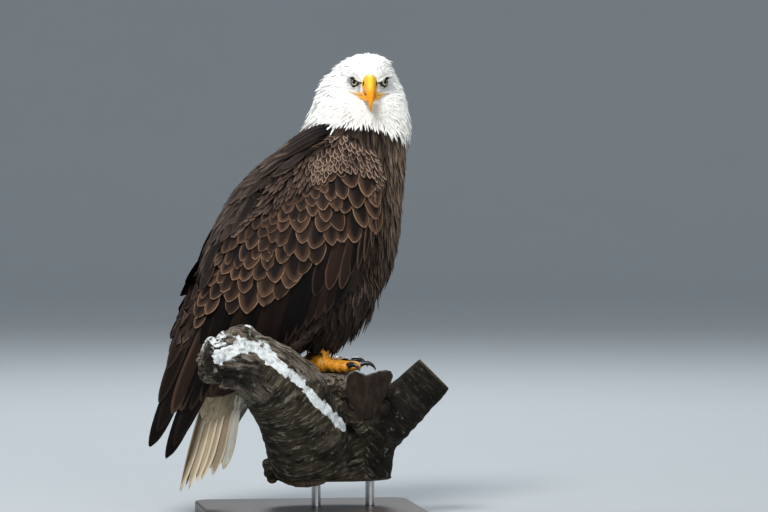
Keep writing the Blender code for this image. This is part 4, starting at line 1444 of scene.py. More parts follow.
def make_scapulars(brown):
    """Long soft feathers of the mantle's sides that overhang the folded wing."""
    tract = Feathers("scapulars", 12, 7)
    travel = travelled(OVERHANG)
    looks = {"thick": 0.0010, "patch": 0.012}

    def follow(distance):
        return np.stack([np.interp(distance, travel, OVERHANG[:, i]) for i in (0, 1)], -1)

    for sign in SIDES.values():
        for row, (above, long, wide, raised, near_start) in enumerate(SCAPULAR_ROWS):
            start = near_start if sign < 0 else 0.030 + 0.006 * row
            along = np.arange(start, travel[-1] - 0.01 * row, 0.0140)
            along = along + RNG.normal(0, 0.002, len(along))
            ahead = unit(follow(along + 0.01) - follow(along - 0.01))
            up = np.stack([-ahead[:, 1], ahead[:, 0]], -1)
            tips = follow(along) + up * above + RNG.normal(0, 0.0015, (len(along), 2))
            heading = unit(ahead - up * (RNG.normal(0.06, 0.07, len(along)) * min(row + 0.4, 1))[:, None])
            starts = tips - heading * long * 0.9
            kept = starts[:, 1] < read_off(WHITE_EDGE, starts[:, 0]) - 0.004
            rear = read_off(WING_REAR, tips[:, 1])
            kept &= tips[:, 0] < rear - 0.003 + 0.010 * ramp(tips[:, 1], 0.44, 0.46)
            (y, z), heading = starts[kept].T, heading[kept]
            count = len(y)
            longs = long * RNG.uniform(0.9, 1.15, count)
            wides = wide * RNG.uniform(0.8, 1.1, count)
            lifts = raised * RNG.uniform(0.85, 1.1, count)
            rims = RNG.uniform(0.05, 0.40, count)
            roots, normals = nearest(np.stack([sign * wing_x(y, z) * 0.97, y, z], -1))
            tilt = np.column_stack([np.zeros(count), heading])
            tint = blend((0.011, 0.0080, 0.0075), (0.036, 0.026, 0.022), RNG.uniform(0, 1, count) ** 1.3)
            tract.lay(roots, normals, lambda points, normals: tilt, longs, 0.0035, lifts, wides,
                      vane(0.7, 0.5, 0.10), tint, swell=0.75, rim=rims, ragged=0.015, cup=0.2, **looks)
    v = lengthwise(tract.rows)
    out = unit(np.array([-0.86, 0.10, 0.48]))
    for root_y, root_z, tip_y, tip_z, wide, raised, shade in SHEAF:
        y, z = root_y + (tip_y - root_y) * v, root_z + (tip_z - root_z) * v
        path = np.stack([surface_x(y, z, -1), y, z], -1) + out * (raised * ramp(v, -0.1, 0.35))[:, None]
        # The first row's low lightness makes it a painted shadow under the sheaf
        tint = np.array([0.028, 0.0205, 0.0205]) * shade
        tract.add(path[None], np.broadcast_to(out, (1, tract.rows, 3)), wide, vane(0.7, 0.5, 0.08), tint,
                  rim=0.12, ragged=0.010, cup=0.3, roll=0.22, **looks)
    tract.made(brown, "brown_plumage")


# ---------------------------------------------------------------- tail

def tail_point(fan, length, layer):
    """A point of the tented tail, as in the solids: fan from -1 to 1, share of its length, depth under it."""
    side = np.abs(fan)[..., None]
    length = np.asarray(length)[..., None]
    ridge = np.array([0, 0.184, 0.222]) * (1 - length) + np.array([0, 0.236, 0.040]) * length
    edge = np.array([0.036, 0.122, 0.196]) * (1 - length) + np.array([0.054, 0.164, 0.066]) * length
    inside = np.minimum(side * 4, 1)
    inward = np.array([-0.45, -0.9, 0]) * inside + np.array([0, -1, 0]) * (1 - inside)
    point = ridge * (1 - side) + edge * side + inward * np.asarray(layer)[..., None]
    bow = 0.010 * np.sin(np.pi * side[..., 0])
    point[..., 0] += bow
    point[..., 1] += bow * 0.4
    point[..., 0] *= np.sign(fan + 1e-9)
    return point


TAIL_FEATHERS = 12


def make_tail(cream):
    """The twelve long feathers of the tented tail."""
    tract = Feathers("tail_feathers", 18, 11)
    v = lengthwise(tract.rows)
    for i, fan in enumerate(np.linspace(-0.95, 0.95, TAIL_FEATHERS)):
        reach = 1.29 - 0.15 * abs(fan) ** 1.5 + RNG.uniform(-0.035, 0.015)
        lengths = -0.32 + reach * v
        layer = full(0.0012 + 0.0042 * abs(fan), tract.rows)
        spread = fan * (0.66 + 0.30 * v) + RNG.normal(0, 0.015) * v
        path = tail_point(spread, lengths, layer)
        beside = tail_point(spread + 0.04, lengths, layer)
        out = unit(np.cross(beside - path, unit(np.gradient(path, axis=0))))
        out = out * np.sign(out[:, 1:2] + 1e-9)
        tint = np.array(CREAM) * RNG.uniform(0.75, 1.25)
        if abs(fan) > 0.9:
            tint = np.array([0.50, 0.48, 0.42])
        tract.add(path[None], out[None], 0.0290, vane(0.75, 0.66, 0.06, 0.70), tint, rim=1.0, thick=0.0012,
                  cup=0.10, ragged=0.012, bake=strips(1, i, TAIL_FEATHERS, tract), roll=-0.16 * np.sign(fan))
    tract.made(cream, "white_plumage", ["tail"])


def make_tail_coverts(white, cream):
    """Short white feathers under the tail's root, and the cream vanes beside it that hide its base."""
    def under(points, normals):
        x, y, z = points.T
        return (z < 0.27) & (white_share(points) > 0.5) & (np.abs(x) < 0.062) & (y < 0.135)

    def beside(points, normals):
        x, y, z = points.T
        return (z < 0.285) & (white_share(points) > 0.4) & (np.abs(x) < 0.085) & (y >= 0.120)

    tract = Feathers("tail_coverts", 7, 5)
    points, normals = scatter(under, 0.0070, 90)
    count = len(points)
    sizes = RNG.uniform(0.030, 0.046, count)
    high = RNG.uniform(0.003, 0.008, count)
    tract.lay(points, normals, jittered(downward(0.10), 0.12, 91, 0.2), sizes, 0.001, high, sizes * 0.24,
              vane(0.6, 0.45, 0.15), (0.66, 0.62, 0.53), swell=1.2, free=0.4, thick=0.0009, ragged=0.06,
              cup=0.3)
    tract.made(white, "white_plumage")
    tract = Feathers("tail_base_feathers", 9, 5)
    points, normals = scatter(beside, 0.0095, 92)
    count = len(points)
    sizes = RNG.uniform(0.055, 0.085, count)
    high = RNG.uniform(0.0035, 0.0055, count)
    tint = np.array(CREAM) * RNG.uniform(0.8, 1.35, (count, 1))
    tract.lay(points, normals, jittered(downward(0.31), 0.03, 93, 0.05), sizes, 0.001, high,
              RNG.uniform(0.014, 0.020, count), vane(0.75, 0.6, 0.10), tint, swell=1.1, free=0.35,
              thick=0.0009, rim=0.7, ragged=0.012, cup=0.12, patch=0.010)
    tract.made(cream, "white_plumage")


# ---------------------------------------------------------------- eyes, bill and feet

def make_eyes():
    """Glass eyes: a black pupil, a pale iris with a darker rim, and a dark ring where the lids begin."""
    shader = Shader("eye_look", 0.10, Coat_Weight=0.5, Coat_Roughness=0.02, Specular_IOR_Level=0.3)
    # Degrees from the way the eye looks
    polar = shader.attribute("polar")
    turn = shader.parts("turn")
    streaks = shader.noise(shader.vector(turn[0] * 9.0, turn[1] * 9.0, polar * 0.02), 1.0, 3.0)
    material = shader.out(shader.layered((0.46, 0.42, 0.25), [
        (streaks.smooth(0.35, 0.7), (0.70, 0.65, 0.44)),
        (polar.smooth(35.0, 42.0), (0.20, 0.165, 0.095)),
        (1 - polar.smooth(25.0, 27.5), (0.002, 0.002, 0.002)),
        (polar.smooth(42.0, 45.5), (0.018, 0.014, 0.012)),
    ]))
    for side, sign in SIDES.items():
        gaze = Vector(GAZE_AXIS * (1, sign, 1)).to_track_quat("Z", "Y").to_matrix().to_4x4()
        place = Matrix(HEAD.tolist()) @ Matrix.Translation(EYE * Vector((1, sign, 1))) @ gaze
        bm = bmesh.new()
        bmesh.ops.create_uvsphere(bm, u_segments=48, v_segments=60, radius=EYE_RADIUS)
        local = np.array([v.co for v in bm.verts])
        bmesh.ops.transform(bm, matrix=place, verts=bm.verts)
        mesh = mesh_of("eye_look_" + side, bm)
        angle = np.degrees(np.arccos(np.clip(local[:, 2] / EYE_RADIUS, -1, 1)))
        point_attribute(mesh, "polar", "FLOAT", angle)
        point_attribute(mesh, "turn", "FLOAT_VECTOR", unit(local * (1, 1, 0)))
        show("eye_look_" + side, mesh, material, ["eye_" + side])


# Sections of the bill's halves: forward of the bill's base and up for the upper edge, the same for the
# lower edge, half width
UPPER_BILL = [
    (-0.0040, 0.0165, -0.0040, -0.0165, 0.0134), (0.0060, 0.0186, 0.0060, -0.0165, 0.0134),
    (0.0145, 0.0196, 0.0145, -0.0160, 0.0114), (0.0184, 0.0194, 0.0174, -0.0160, 0.0109),
    (0.0254, 0.0185, 0.0234, -0.0158, 0.0107), (0.0354, 0.0140, 0.0304, -0.0160, 0.0098),
    (0.0439, 0.0060, 0.0359, -0.0175, 0.0084), (0.0499, -0.0045, 0.0404, -0.0205, 0.0067),
    (0.0529, -0.0160, 0.0439, -0.0245, 0.0048), (0.0529, -0.0270, 0.0464, -0.0300, 0.0032),
    (0.0509, -0.0360, 0.0476, -0.0355, 0.0018), (0.0494, -0.0400, 0.0486, -0.0398, 0.0007),
]
LOWER_BILL = [
    (-0.0060, -0.0165, -0.0060, -0.0310, 0.0140), (0.0020, -0.0163, 0.0010, -0.0302, 0.0130),
    (0.0160, -0.0163, 0.0140, -0.0282, 0.0106), (0.0270, -0.0169, 0.0250, -0.0268, 0.0086),
    (0.0340, -0.0189, 0.0330, -0.0246, 0.0060), (0.0380, -0.0211, 0.0375, -0.0229, 0.0030),
]
# Where the cere meets the horn
CERE_END = BILL_BASE + 0.0155
NOSTRIL_SLANT = math.radians(66)


def bill_rings(rows, count, steps):
    """Rings between a bill's upper and lower edges, a little squarer than ellipses, in head coordinates."""
    angle = round_angles(count)
    across, up = (np.sign(part) * np.abs(part) ** (2 / 2.1) for part in (np.cos(angle), np.sin(angle)))
    rows = np.array(rows) + (BILL_BASE, 0, BILL_BASE, 0, 0)
    sections = smooth_through(keyed(rows), np.linspace(0, 1, steps))
    top, low, wide = sections[:, None, 0:2], sections[:, None, 2:4], sections[:, 4:5]
    edge = (top + low) / 2 + (top - low) / 2 * up[:, None]
    return np.stack([edge[..., 0], wide * across, edge[..., 1]], -1)


def nostril(local, aside, long_size, short_size, inside):
    """1 in the slanting oval of a nostril, only on the bill's outer side."""
    rel = one_side(local) - np.array([BILL_BASE + 0.0098, aside, 0.0030])
    forward, _, up = rel.T
    long = forward * math.cos(NOSTRIL_SLANT) + up * math.sin(NOSTRIL_SLANT)
    short = up * math.cos(NOSTRIL_SLANT) - forward * math.sin(NOSTRIL_SLANT)
    return np.exp(-((long / long_size) ** 2 + (short / short_size) ** 2) ** 1.5) * (rel[:, 1] > inside)


def bill_marks(mesh, hole):
    """Distance forward of the bill's base, height, and what hole(local) gives, for the bill's colours and the
    nostrils' painted shade.
    """
    local = to_head(vertex_points(mesh))
    marks = np.stack([local[:, 0] - BILL_BASE, local[:, 2], hole(local)], -1)
    point_attribute(mesh, "marks", "FLOAT_VECTOR", marks)


def make_bill():
    rings = bill_rings(UPPER_BILL, 60, 110)
    flat = rings.reshape(-1, 3)
    # The ridge is narrower than the cutting edges
    narrow = 0.20 * ramp(flat[:, 0], BILL_BASE + 0.002, BILL_BASE + 0.017) * ramp(flat[:, 2], -0.012, 0.012)
    flat = flat * np.stack([np.ones(len(flat)), 1 - narrow, np.ones(len(flat))], -1)
    # The cere is a little fuller than the horn, with a groove between them
    ahead = flat[:, 0] - CERE_END - 0.0025 * np.cos(flat[:, 2] / 0.012)
    fuller = 0.0005 * ramp(ahead, 0.0012, -0.0004) * ramp(flat[:, 2], -0.016, -0.010)
    fuller = fuller - 0.0004 * np.exp(-((ahead - 0.0004) / 0.0007) ** 2)
    centre = flat * (1, 0, 0) + np.array([0, 0, -0.002])
    flat = flat + unit(flat - centre) * fuller[:, None]
    hole = nostril(flat, 0.0112, 0.0040, 0.0026, -0.008)
    flat = flat - np.sign(flat[:, 1:2]) * np.array([0, 1, 0]) * (0.0034 * hole)[:, None]
    mesh = loft_mesh("bill_look", from_head(flat.reshape(rings.shape)))
    material = bill_material()
    bill_marks(mesh, lambda local: nostril(local, 0.0092, 0.0043, 0.0030, -0.006))
    show("bill_look", mesh, material, ["bill_upper", "cere"])
    mesh = loft_mesh("bill_lower_look", from_head(bill_rings(LOWER_BILL, 40, 40)))
    bill_marks(mesh, lambda local: local[:, 0] * 0)
    show("bill_lower_look", mesh, material, ["bill_lower"])


def gape_material():
    shader = Shader("gape_skin", 0.45, Coat_Weight=0.1, Coat_Roughness=0.3)
    share, across, _ = shader.parts("fold")
    fine = shader.noise(shader.place(), 500.0, 3.0)
    line = 1 - (across - 0.15).math("ABSOLUTE").smooth(0.04, 0.22)
    colour = shader.layered((0.84, 0.44, 0.055), [
        (share.smooth(0.0, 0.9), (0.62, 0.44, 0.24)),
        (line * share.smooth(0.02, 0.25) * 0.75, (0.22, 0.10, 0.045)),
    ])
    return shader.out(shader.shade(colour, 0.85 + fine * 0.3), None, fine, 0.0003, 0.4)


def make_gape():
    """The fleshy yellow corner of the mouth, a fold that runs back under each eye."""
    material = gape_material()
    shares = np.linspace(0, 1, 30)
    sections = smooth_through(keyed([(0.0675, 0.0096, -0.0198, 0.0058), *GAPE]), shares)
    angle = round_angles(18)[:, None]
    high = np.maximum(sections[:, 3], 0.0005)[:, None, None]
    deep = np.minimum(high, 0.0016) * (1 - 0.45 * np.exp(-((np.sin(angle) - 0.15) / 0.25) ** 2))
    for side, sign in SIDES.items():
        line = sections[:, :3] * (1, sign, 1)
        near, normal = nearest(from_head(line))
        middle = to_head(near) + normal @ HEAD[:3, :3] * 0.0010
        middle = np.where(shares[:, None] < 0.12, line, middle)
        along, up = upright(middle)
        out = unit(np.cross(along, up))
        out = out * np.sign(out[:, 1:2] * sign)
        rings = middle[:, None] + up[:, None] * np.sin(angle) * high + out[:, None] * np.cos(angle) * deep
        facts = np.stack(np.broadcast_arrays(shares[:, None], np.sin(angle).T, 0.0), -1).reshape(-1, 3)
        mesh = loft_mesh("gape_" + side, from_head(rings))
        spots = from_head(rings).reshape(-1, 3)
        closest = [np.argmin(((spots - place) ** 2).sum(1)) for place in vertex_points(mesh)]
        point_attribute(mesh, "fold", "FLOAT_VECTOR", facts[closest])
        show("gape_" + side, mesh, material)


def bill_material():
    shader = Shader("bill_horn_look", 0.38, Coat_Weight=0.05, Coat_Roughness=0.3, Specular_IOR_Level=0.25)
    forward, height, hole = shader.parts("marks")
    place = shader.place()
    fine = shader.noise(place, 420.0, 3.0)
    layers = shader.noise(shader.stretched(place, (90.0, 90.0, 420.0)), 1.0, 3.0)
    # Yellow on top, deeper orange lower down and darker at the hook: partly the horn's own colours, partly
    # painted light, lighter on top and shaded below
    colour = shader.layered((0.92, 0.540, 0.022), [
        (height.smooth(0.012, -0.010), (0.89, 0.325, 0.004)),
        (height.smooth(-0.022, -0.042), (0.60, 0.260, 0.02)),
        ((1 - forward.smooth(0.0130, 0.0175)) * 0.6, (0.88, 0.46, 0.012)),
    ])
    colour = shader.shade(colour, 0.88 + layers * 0.14 + fine * 0.12)
    # The nostrils painted nearly black: painted shade inside the openings
    colour = shader.mix(hole.smooth(0.12, 0.45), colour, (0.030, 0.012, 0.003))
    return shader.out(colour, None, fine * 0.5 + layers, 0.0003, 0.35)


# Each toe's turn from the front in degrees, outwards positive, its length, and the bend of its claw
TOES = {1: (176, 0.040, 0.0205), 2: (-30, 0.047, 0.0200), 3: (3, 0.062, 0.0185), 4: (42, 0.052, 0.0160)}
# At five places from the toe's root to its end
TOE_RADII = (0.0108, 0.0098, 0.0100, 0.0092, 0.0080)
TOE_HEIGHTS = (0.0185, 0.0150, 0.0128, 0.0115, 0.0118)
CLAW_START, CLAW_TURN = math.radians(38), math.radians(112)
# The shank's rings run between these heights
SHANK_LOW, SHANK_HIGH = PERCH_TOP + 0.016, 0.318


def toe_line(side, number):
    """A toe's centre line, the way it points, and its claw's bend."""
    sign = SIDES[side]
    degrees, length, bend = TOES[number]
    angle = math.radians(degrees)
    heading = np.array([sign * math.sin(angle), -math.cos(angle), 0])
    middle = np.array([sign * FOOT_ASIDE, FOOT_Y, PERCH_TOP])
    points = [middle + heading * length * i / 4 + np.array([0, 0, TOE_HEIGHTS[i]]) for i in range(5)]
    return np.array(points), heading, bend


def tube_rings(centres, radii, count):
    """Round rings along a line."""
    along = unit(np.gradient(centres, axis=0))
    across = unit(np.cross(along, (0, 0, 1.0)) + 1e-6)
    up = np.cross(across, along)
    angle = round_angles(count)[:, None]
    radii = radii[:, None, None]
    return centres[:, None] + across[:, None] * np.cos(angle) * radii + up[:, None] * np.sin(angle) * radii


def scutes(angle):
    """How strongly plates show at each place round a ring, most on its upper side."""
    return np.clip(np.sin(angle), 0, 1) ** 0.6


def toe_rings(side, number):
    """A toe with broad plates across its top and pads below."""
    points, heading, _ = toe_line(side, number)
    beyond = 1.12
    keys = np.append(np.linspace(0, 1, 5), beyond)
    places = np.vstack([points, points[-1] + heading * 0.0062])
    radii = np.append(TOE_RADII, 0.0050)
    path = smooth_through(np.column_stack([keys, places, radii]), np.linspace(0, beyond, 76))
    line = path[:, :3]
    rings = tube_rings(line, path[:, 3], 30)
    travel = travelled(line)[:, None]
    angle = round_angles(30)
    plates = np.cos(travel / 0.0044 * 2 * np.pi) * 0.00040
    pads = np.cos(travel / 0.0135 * 2 * np.pi + 0.5) * 0.0011
    raised = plates * scutes(angle) + pads * np.clip(-np.sin(angle), 0, 1)
    return rings + unit(rings - line[:, None]) * raised[..., None]


def shank_rings(sign):
    """The bare shank, slimmer at its middle, with plates down its front."""
    angle = round_angles(30)
    rings = []
    for z in np.linspace(SHANK_LOW, SHANK_HIGH, 36):
        slim = 0.0118 - 0.0014 * math.sin((z - SHANK_LOW) / 0.048 * math.pi)
        radius = slim + 0.0004 * math.cos(z / 0.0056 * 2 * math.pi) * scutes(-angle)
        x, y = sign * FOOT_ASIDE + radius * np.cos(angle), FOOT_Y - 0.003 + radius * np.sin(angle)
        rings.append(np.stack([x, y, np.full(30, z)], -1))
    return rings


def make_toes():
    """Both feet: toes and shank run together round the pad of the foot."""
    material = scale_material()
    for side, sign in SIDES.items():
        bm = bmesh.new()
        for number in TOES:
            bm.from_mesh(loft_mesh("toe", toe_rings(side, number)))
        pad = Matrix.Translation((sign * FOOT_ASIDE, FOOT_Y, PERCH_TOP + 0.017))
        pad = pad @ Matrix.Diagonal((0.0168, 0.0195, 0.0160, 1))
        bmesh.ops.create_uvsphere(bm, u_segments=32, v_segments=20, radius=1.0, matrix=pad)
        bm.from_mesh(loft_mesh("shank", shank_rings(sign)))
        name = "foot_look_" + side
        mesh = mesh_of(name, remeshed(name, bm, FOOT_VOXEL, 3))
        show(name, mesh, material, ["foot_" + side, "shank_" + side])


def make_talons():
    shader = Shader("claw_look", 0.28, Coat_Weight=0.5, Coat_Roughness=0.15)
    place = shader.place()
    grain = shader.noise(shader.stretched(place, (600.0, 200.0, 600.0)), 1.0, 3.0)
    colour = shader.mix(grain.smooth(0.4, 0.75), (0.010, 0.010, 0.011), (0.045, 0.042, 0.042))
    material = shader.out(colour, None, grain, 0.0002, 0.3)
    for side in SIDES:
        for number in TOES:
            points, heading, bend = toe_line(side, number)
            start = points[-1] + heading * (TOE_RADII[-1] * 0.55 - 0.0012)
            t = np.linspace(0, 1, 34)
            angle = CLAW_START - CLAW_TURN * t
            ahead = bend * (math.sin(CLAW_START) - np.sin(angle))
            rise = bend * (np.cos(angle) - math.cos(CLAW_START)) + 0.0015
            path = start + heading * ahead[:, None] + np.array([0, 0, 1.0]) * rise[:, None]
            radii = 0.0053 * (1 - t) ** 0.75 + 0.0005
            name = f"talon_{side}_{number}"
            mesh = loft_mesh(name + "_look", tube_rings(path, radii, 20))
            show(name + "_look", mesh, material, [name])


def scale_material():
    """Yellow skin in small rounded scales with darker seams."""
    shader = Shader("scaly_skin", 0.45, Coat_Weight=0.12, Coat_Roughness=0.3)
    place = shader.place()
    values = {"Vector": place, "Scale": 460.0, "Smoothness": 0.3}
    cells = shader.node("ShaderNodeTexVoronoi", {"feature": "SMOOTH_F1"}, values)
    seam = 1 - cells.smooth(0.30, 0.75)
    soft = shader.noise(place, 90.0, 3.0)
    colour = shader.mix(soft.smooth(0.35, 0.7), (0.72, 0.27, 0.010), (0.86, 0.40, 0.022))
    colour = shader.shade(colour, 0.60 + seam * 0.45)
    return shader.out(colour, None, seam, 0.0006, 0.8)


# ---------------------------------------------------------------- perch and stand

# Centre lines of the trunk with its broken limb, and of the cut fork
LIMB_LINE = [
    (-0.030, -0.020, 0.030), (-0.055, -0.005, 0.080), (-0.085, 0.012, 0.125), (-0.112, 0.026, 0.160),
    (-0.144, 0.056, 0.222), (-0.168, 0.094, 0.262), (-0.183, 0.147, 0.283), (-0.192, 0.215, 0.282),
]
FORK_LINE = [
    (-0.010, -0.020, 0.030), (-0.020, -0.060, 0.100), (-0.028, -0.112, 0.150), (-0.032, -0.160, 0.196),
    (-0.037, -0.235, 0.272),
]
FORK_END = np.array([-0.036, -0.214, 0.250])
FORK_HEADING = unit(np.array([-0.004, -0.054, 0.054]))
# The pale crust of lichen down the limb, as seen from the side
CRUST_LINE = np.array([
    (0, 0.185, 0.296), (0, 0.150, 0.310), (0, 0.120, 0.306), (0, 0.089, 0.286), (0, 0.044, 0.252),
    (0, 0.008, 0.210), (0, -0.042, 0.166),
])
# Lumps of wood: place and radius
KNOBS = [
    (-0.052, 0.0815, 0.096, 0.0105), (-0.058, 0.0790, 0.083, 0.0110), (-0.050, 0.0730, 0.072, 0.0110),
    (-0.112, -0.066, 0.180, 0.019), (-0.108, -0.092, 0.172, 0.020), (-0.106, -0.050, 0.200, 0.019),
    (-0.112, -0.112, 0.196, 0.015), (-0.111, -0.078, 0.160, 0.016), (-0.114, -0.044, 0.224, 0.013),
    (-0.186, 0.154, 0.311, 0.0155), (-0.182, 0.098, 0.3115, 0.0150), (-0.192, 0.207, 0.284, 0.0145),
    (-0.212, 0.196, 0.296, 0.0110), (-0.205, 0.172, 0.303, 0.0125), (-0.222, 0.178, 0.268, 0.0130),
    (-0.214, 0.202, 0.262, 0.0100), (-0.196, 0.125, 0.312, 0.0110), (-0.226, 0.150, 0.250, 0.0110),
]
TORN_LUMPS = 46
PERCH_NODES = ["perch_trunk", "perch_limb", "perch_fork", "perch_snag"]
# Outwards of this is the broken limb's near side, clear of the feet
LIMB_SIDE = -0.13


def beside_line(points, line):
    """Distance from a centre line, the two ways across it, and the travel along it."""
    line = smooth_through(keyed(line), np.linspace(0, 1, 40))
    best = np.full(len(points), 1e9)
    facts = np.zeros((len(points), 3))
    done = 0.0
    for a, b in zip(line[:-1], line[1:]):
        span = np.linalg.norm(b - a)
        heading = (b - a) / span
        first = unit(np.array([1.0, 0, 0]) - heading * heading[0])
        second = np.cross(heading, first)
        t = np.clip((points - a) @ heading / span, 0, 1)
        off = points - (a + t[:, None] * (b - a))
        gap = np.linalg.norm(off, axis=1)
        here = np.stack([off @ first, off @ second, done + t * span], -1)
        facts = np.where((gap < best)[:, None], here, facts)
        best = np.minimum(gap, best)
        done += span
    return best, facts


def torn_lumps():
    """The knobbly torn wood round the broken end of the limb: places and radii."""
    share = RNG.uniform(0.0, 1.0, TORN_LUMPS) ** 0.7
    turn = RNG.uniform(-0.9, 3.4, TORN_LUMPS)
    middle = blend((-0.186, 0.120, 0.279), (-0.190, 0.200, 0.279), share)
    reach = 0.053 - 0.019 * share**2.2
    spots = middle + np.stack([-np.cos(turn) * reach, 0.09 * reach, np.sin(turn) * reach], -1)
    return [(*place, RNG.uniform(0.006, 0.012)) for place in spots]


def make_perch():
    bm = gathered(PERCH_NODES, 0.0006)
    for x, y, z, radius in torn_lumps() + KNOBS:
        bmesh.ops.create_icosphere(bm, subdivisions=2, radius=radius, matrix=Matrix.Translation((x, y, z)))
    bm = remeshed("perch_form", bm, PERCH_VOXEL, 2)
    points, normals = bm_arrays(bm)
    x, y, z = points.T
    cut = sawn_share(points)
    plate, rim = plate_share(points, normals)
    smooth = np.maximum(cut, plate)
    # The wood's grain follows the limb or the fork, whichever is nearer
    limb_gap, limb = beside_line(points, LIMB_LINE)
    fork_gap, fork = beside_line(points, FORK_LINE)
    on_fork = (y < -0.085) & (fork_gap < limb_gap)
    across = np.where(on_fork[:, None], fork, limb)
    grain = across * (1, 1, 0.10)
    bands = across * (0.16, 0.16, 1)
    # Bare wood at the torn end and where feet have worn the top
    torn = ramp(y, 0.07, 0.15) * ramp(z, 0.20, 0.24)
    top = ramp(normals[:, 2], 0.0, 0.45) * ramp(z, 0.19, 0.25) * (y > -0.06)
    worn = np.clip(np.maximum(torn * 0.8, top) + 0.35 * wobble(points, 0.020, 9), 0, 1)
    cracks = -np.abs(wobble(grain, 0.010, 3)) * 1.6
    rings = wobble(bands, 0.0045, 4)
    lumps = wobble(points, 0.026, 5)
    rough = torn * (np.abs(wobble(points * (1.4, 1.4, 0.8), 0.024, 7)) * 1.6 - 0.7)
    splinters = torn * (np.abs(wobble(grain, 0.016, 8)) * 1.5 - 0.75)
    # The relief stays shallow under the feet
    height = 0.0022 * cracks * worn + 0.0013 * rings * (1 - worn) + 0.0024 * lumps
    height = height * (1 - smooth) * ramp(z, PERCH_TOP - 0.001, PERCH_TOP - 0.012)
    keep = ramp(np.linalg.norm(points[:, :2] - (0, FOOT_Y - 0.01), axis=1), 0.10, 0.125)
    keep = np.maximum(keep, ramp(z, PERCH_TOP - 0.012, PERCH_TOP - 0.03))
    keep = np.where(x < LIMB_SIDE, 1.0, keep)
    deep = 0.0026 * cracks * worn + 0.0024 * lumps + 0.0066 * rough + 0.0034 * splinters
    outer = (x < LIMB_SIDE) & (z > PERCH_TOP - 0.012)
    lift = np.where(outer, deep * (1 - smooth), height * keep)
    put_points(bm, points + normals * (lift - 0.0004)[:, None])
    mesh = mesh_of("perch_look", bm)
    crust = crust_share(points, normals, torn)
    # Painted shade: darker in the hollows of the torn wood and over the fork
    pit_and_fork_shade = np.maximum(ramp(lift, -0.0008, -0.0042) * torn, 0.85 * on_fork * ramp(y, -0.085, -0.12))
    point_attribute(mesh, "zones", "FLOAT_VECTOR", np.stack([worn, cut, crust], -1))
    point_attribute(mesh, "plate", "FLOAT_VECTOR", np.stack([plate, rim, pit_and_fork_shade], -1))
    point_attribute(mesh, "grain", "FLOAT_VECTOR", grain)
    point_attribute(mesh, "bands", "FLOAT_VECTOR", bands)
    show("perch_look", mesh, bark_material(), PERCH_NODES)


def crust_share(points, normals, torn):
    """1 on the pale crust down the limb and in patches on top of its torn end."""
    gap, _, share = line_distance(points * (0, 1, 1), CRUST_LINE)
    calm = 1 - 0.65 * ramp(share, 0.3, 0.8)
    gap = gap + (0.0060 * wobble(points, 0.011, 61) + 0.0030 * wobble(points, 0.0045, 62)) * calm
    half = 0.017 - 0.0085 * share**0.6
    streak = ramp(gap, half + 0.004, half - 0.006) * (points[:, 0] < -0.07)
    patches = ramp(wobble(points, 0.018, 6), -0.3, 0.3) * ramp(points[:, 2], 0.280, 0.290)
    return np.maximum(streak, 0.75 * torn * ramp(normals[:, 2], 0.35, 0.8) * patches)


def sawn_share(points):
    """1 on the two sawn faces: the fork's end and the underside."""
    fork = ramp((points - FORK_END) @ FORK_HEADING, -0.0035, -0.0012)
    under = ramp(points[:, 2], 0.071, 0.068)
    return np.maximum(fork, under)


def plate_share(points, normals):
    """1 on the smooth face of the notched stub, and the pale share of its top rim, partly worn and partly a
    painted highlight.
    """
    near = (points[:, 0] < -0.100) & (np.abs(points[:, 1] + 0.087) < 0.050) & (points[:, 2] > 0.174)
    face = near * ramp(-normals[:, 0], 0.60, 0.90) * ramp(points[:, 0], -0.118, -0.123)
    rim = near * (points[:, 2] > 0.235) * (1 - face) * ramp(points[:, 0], -0.110, -0.120)
    return face, rim


# The dark of the bark's cracks, also the painted shade in pits
CRACK_AND_SHADE = (0.006, 0.005, 0.004)


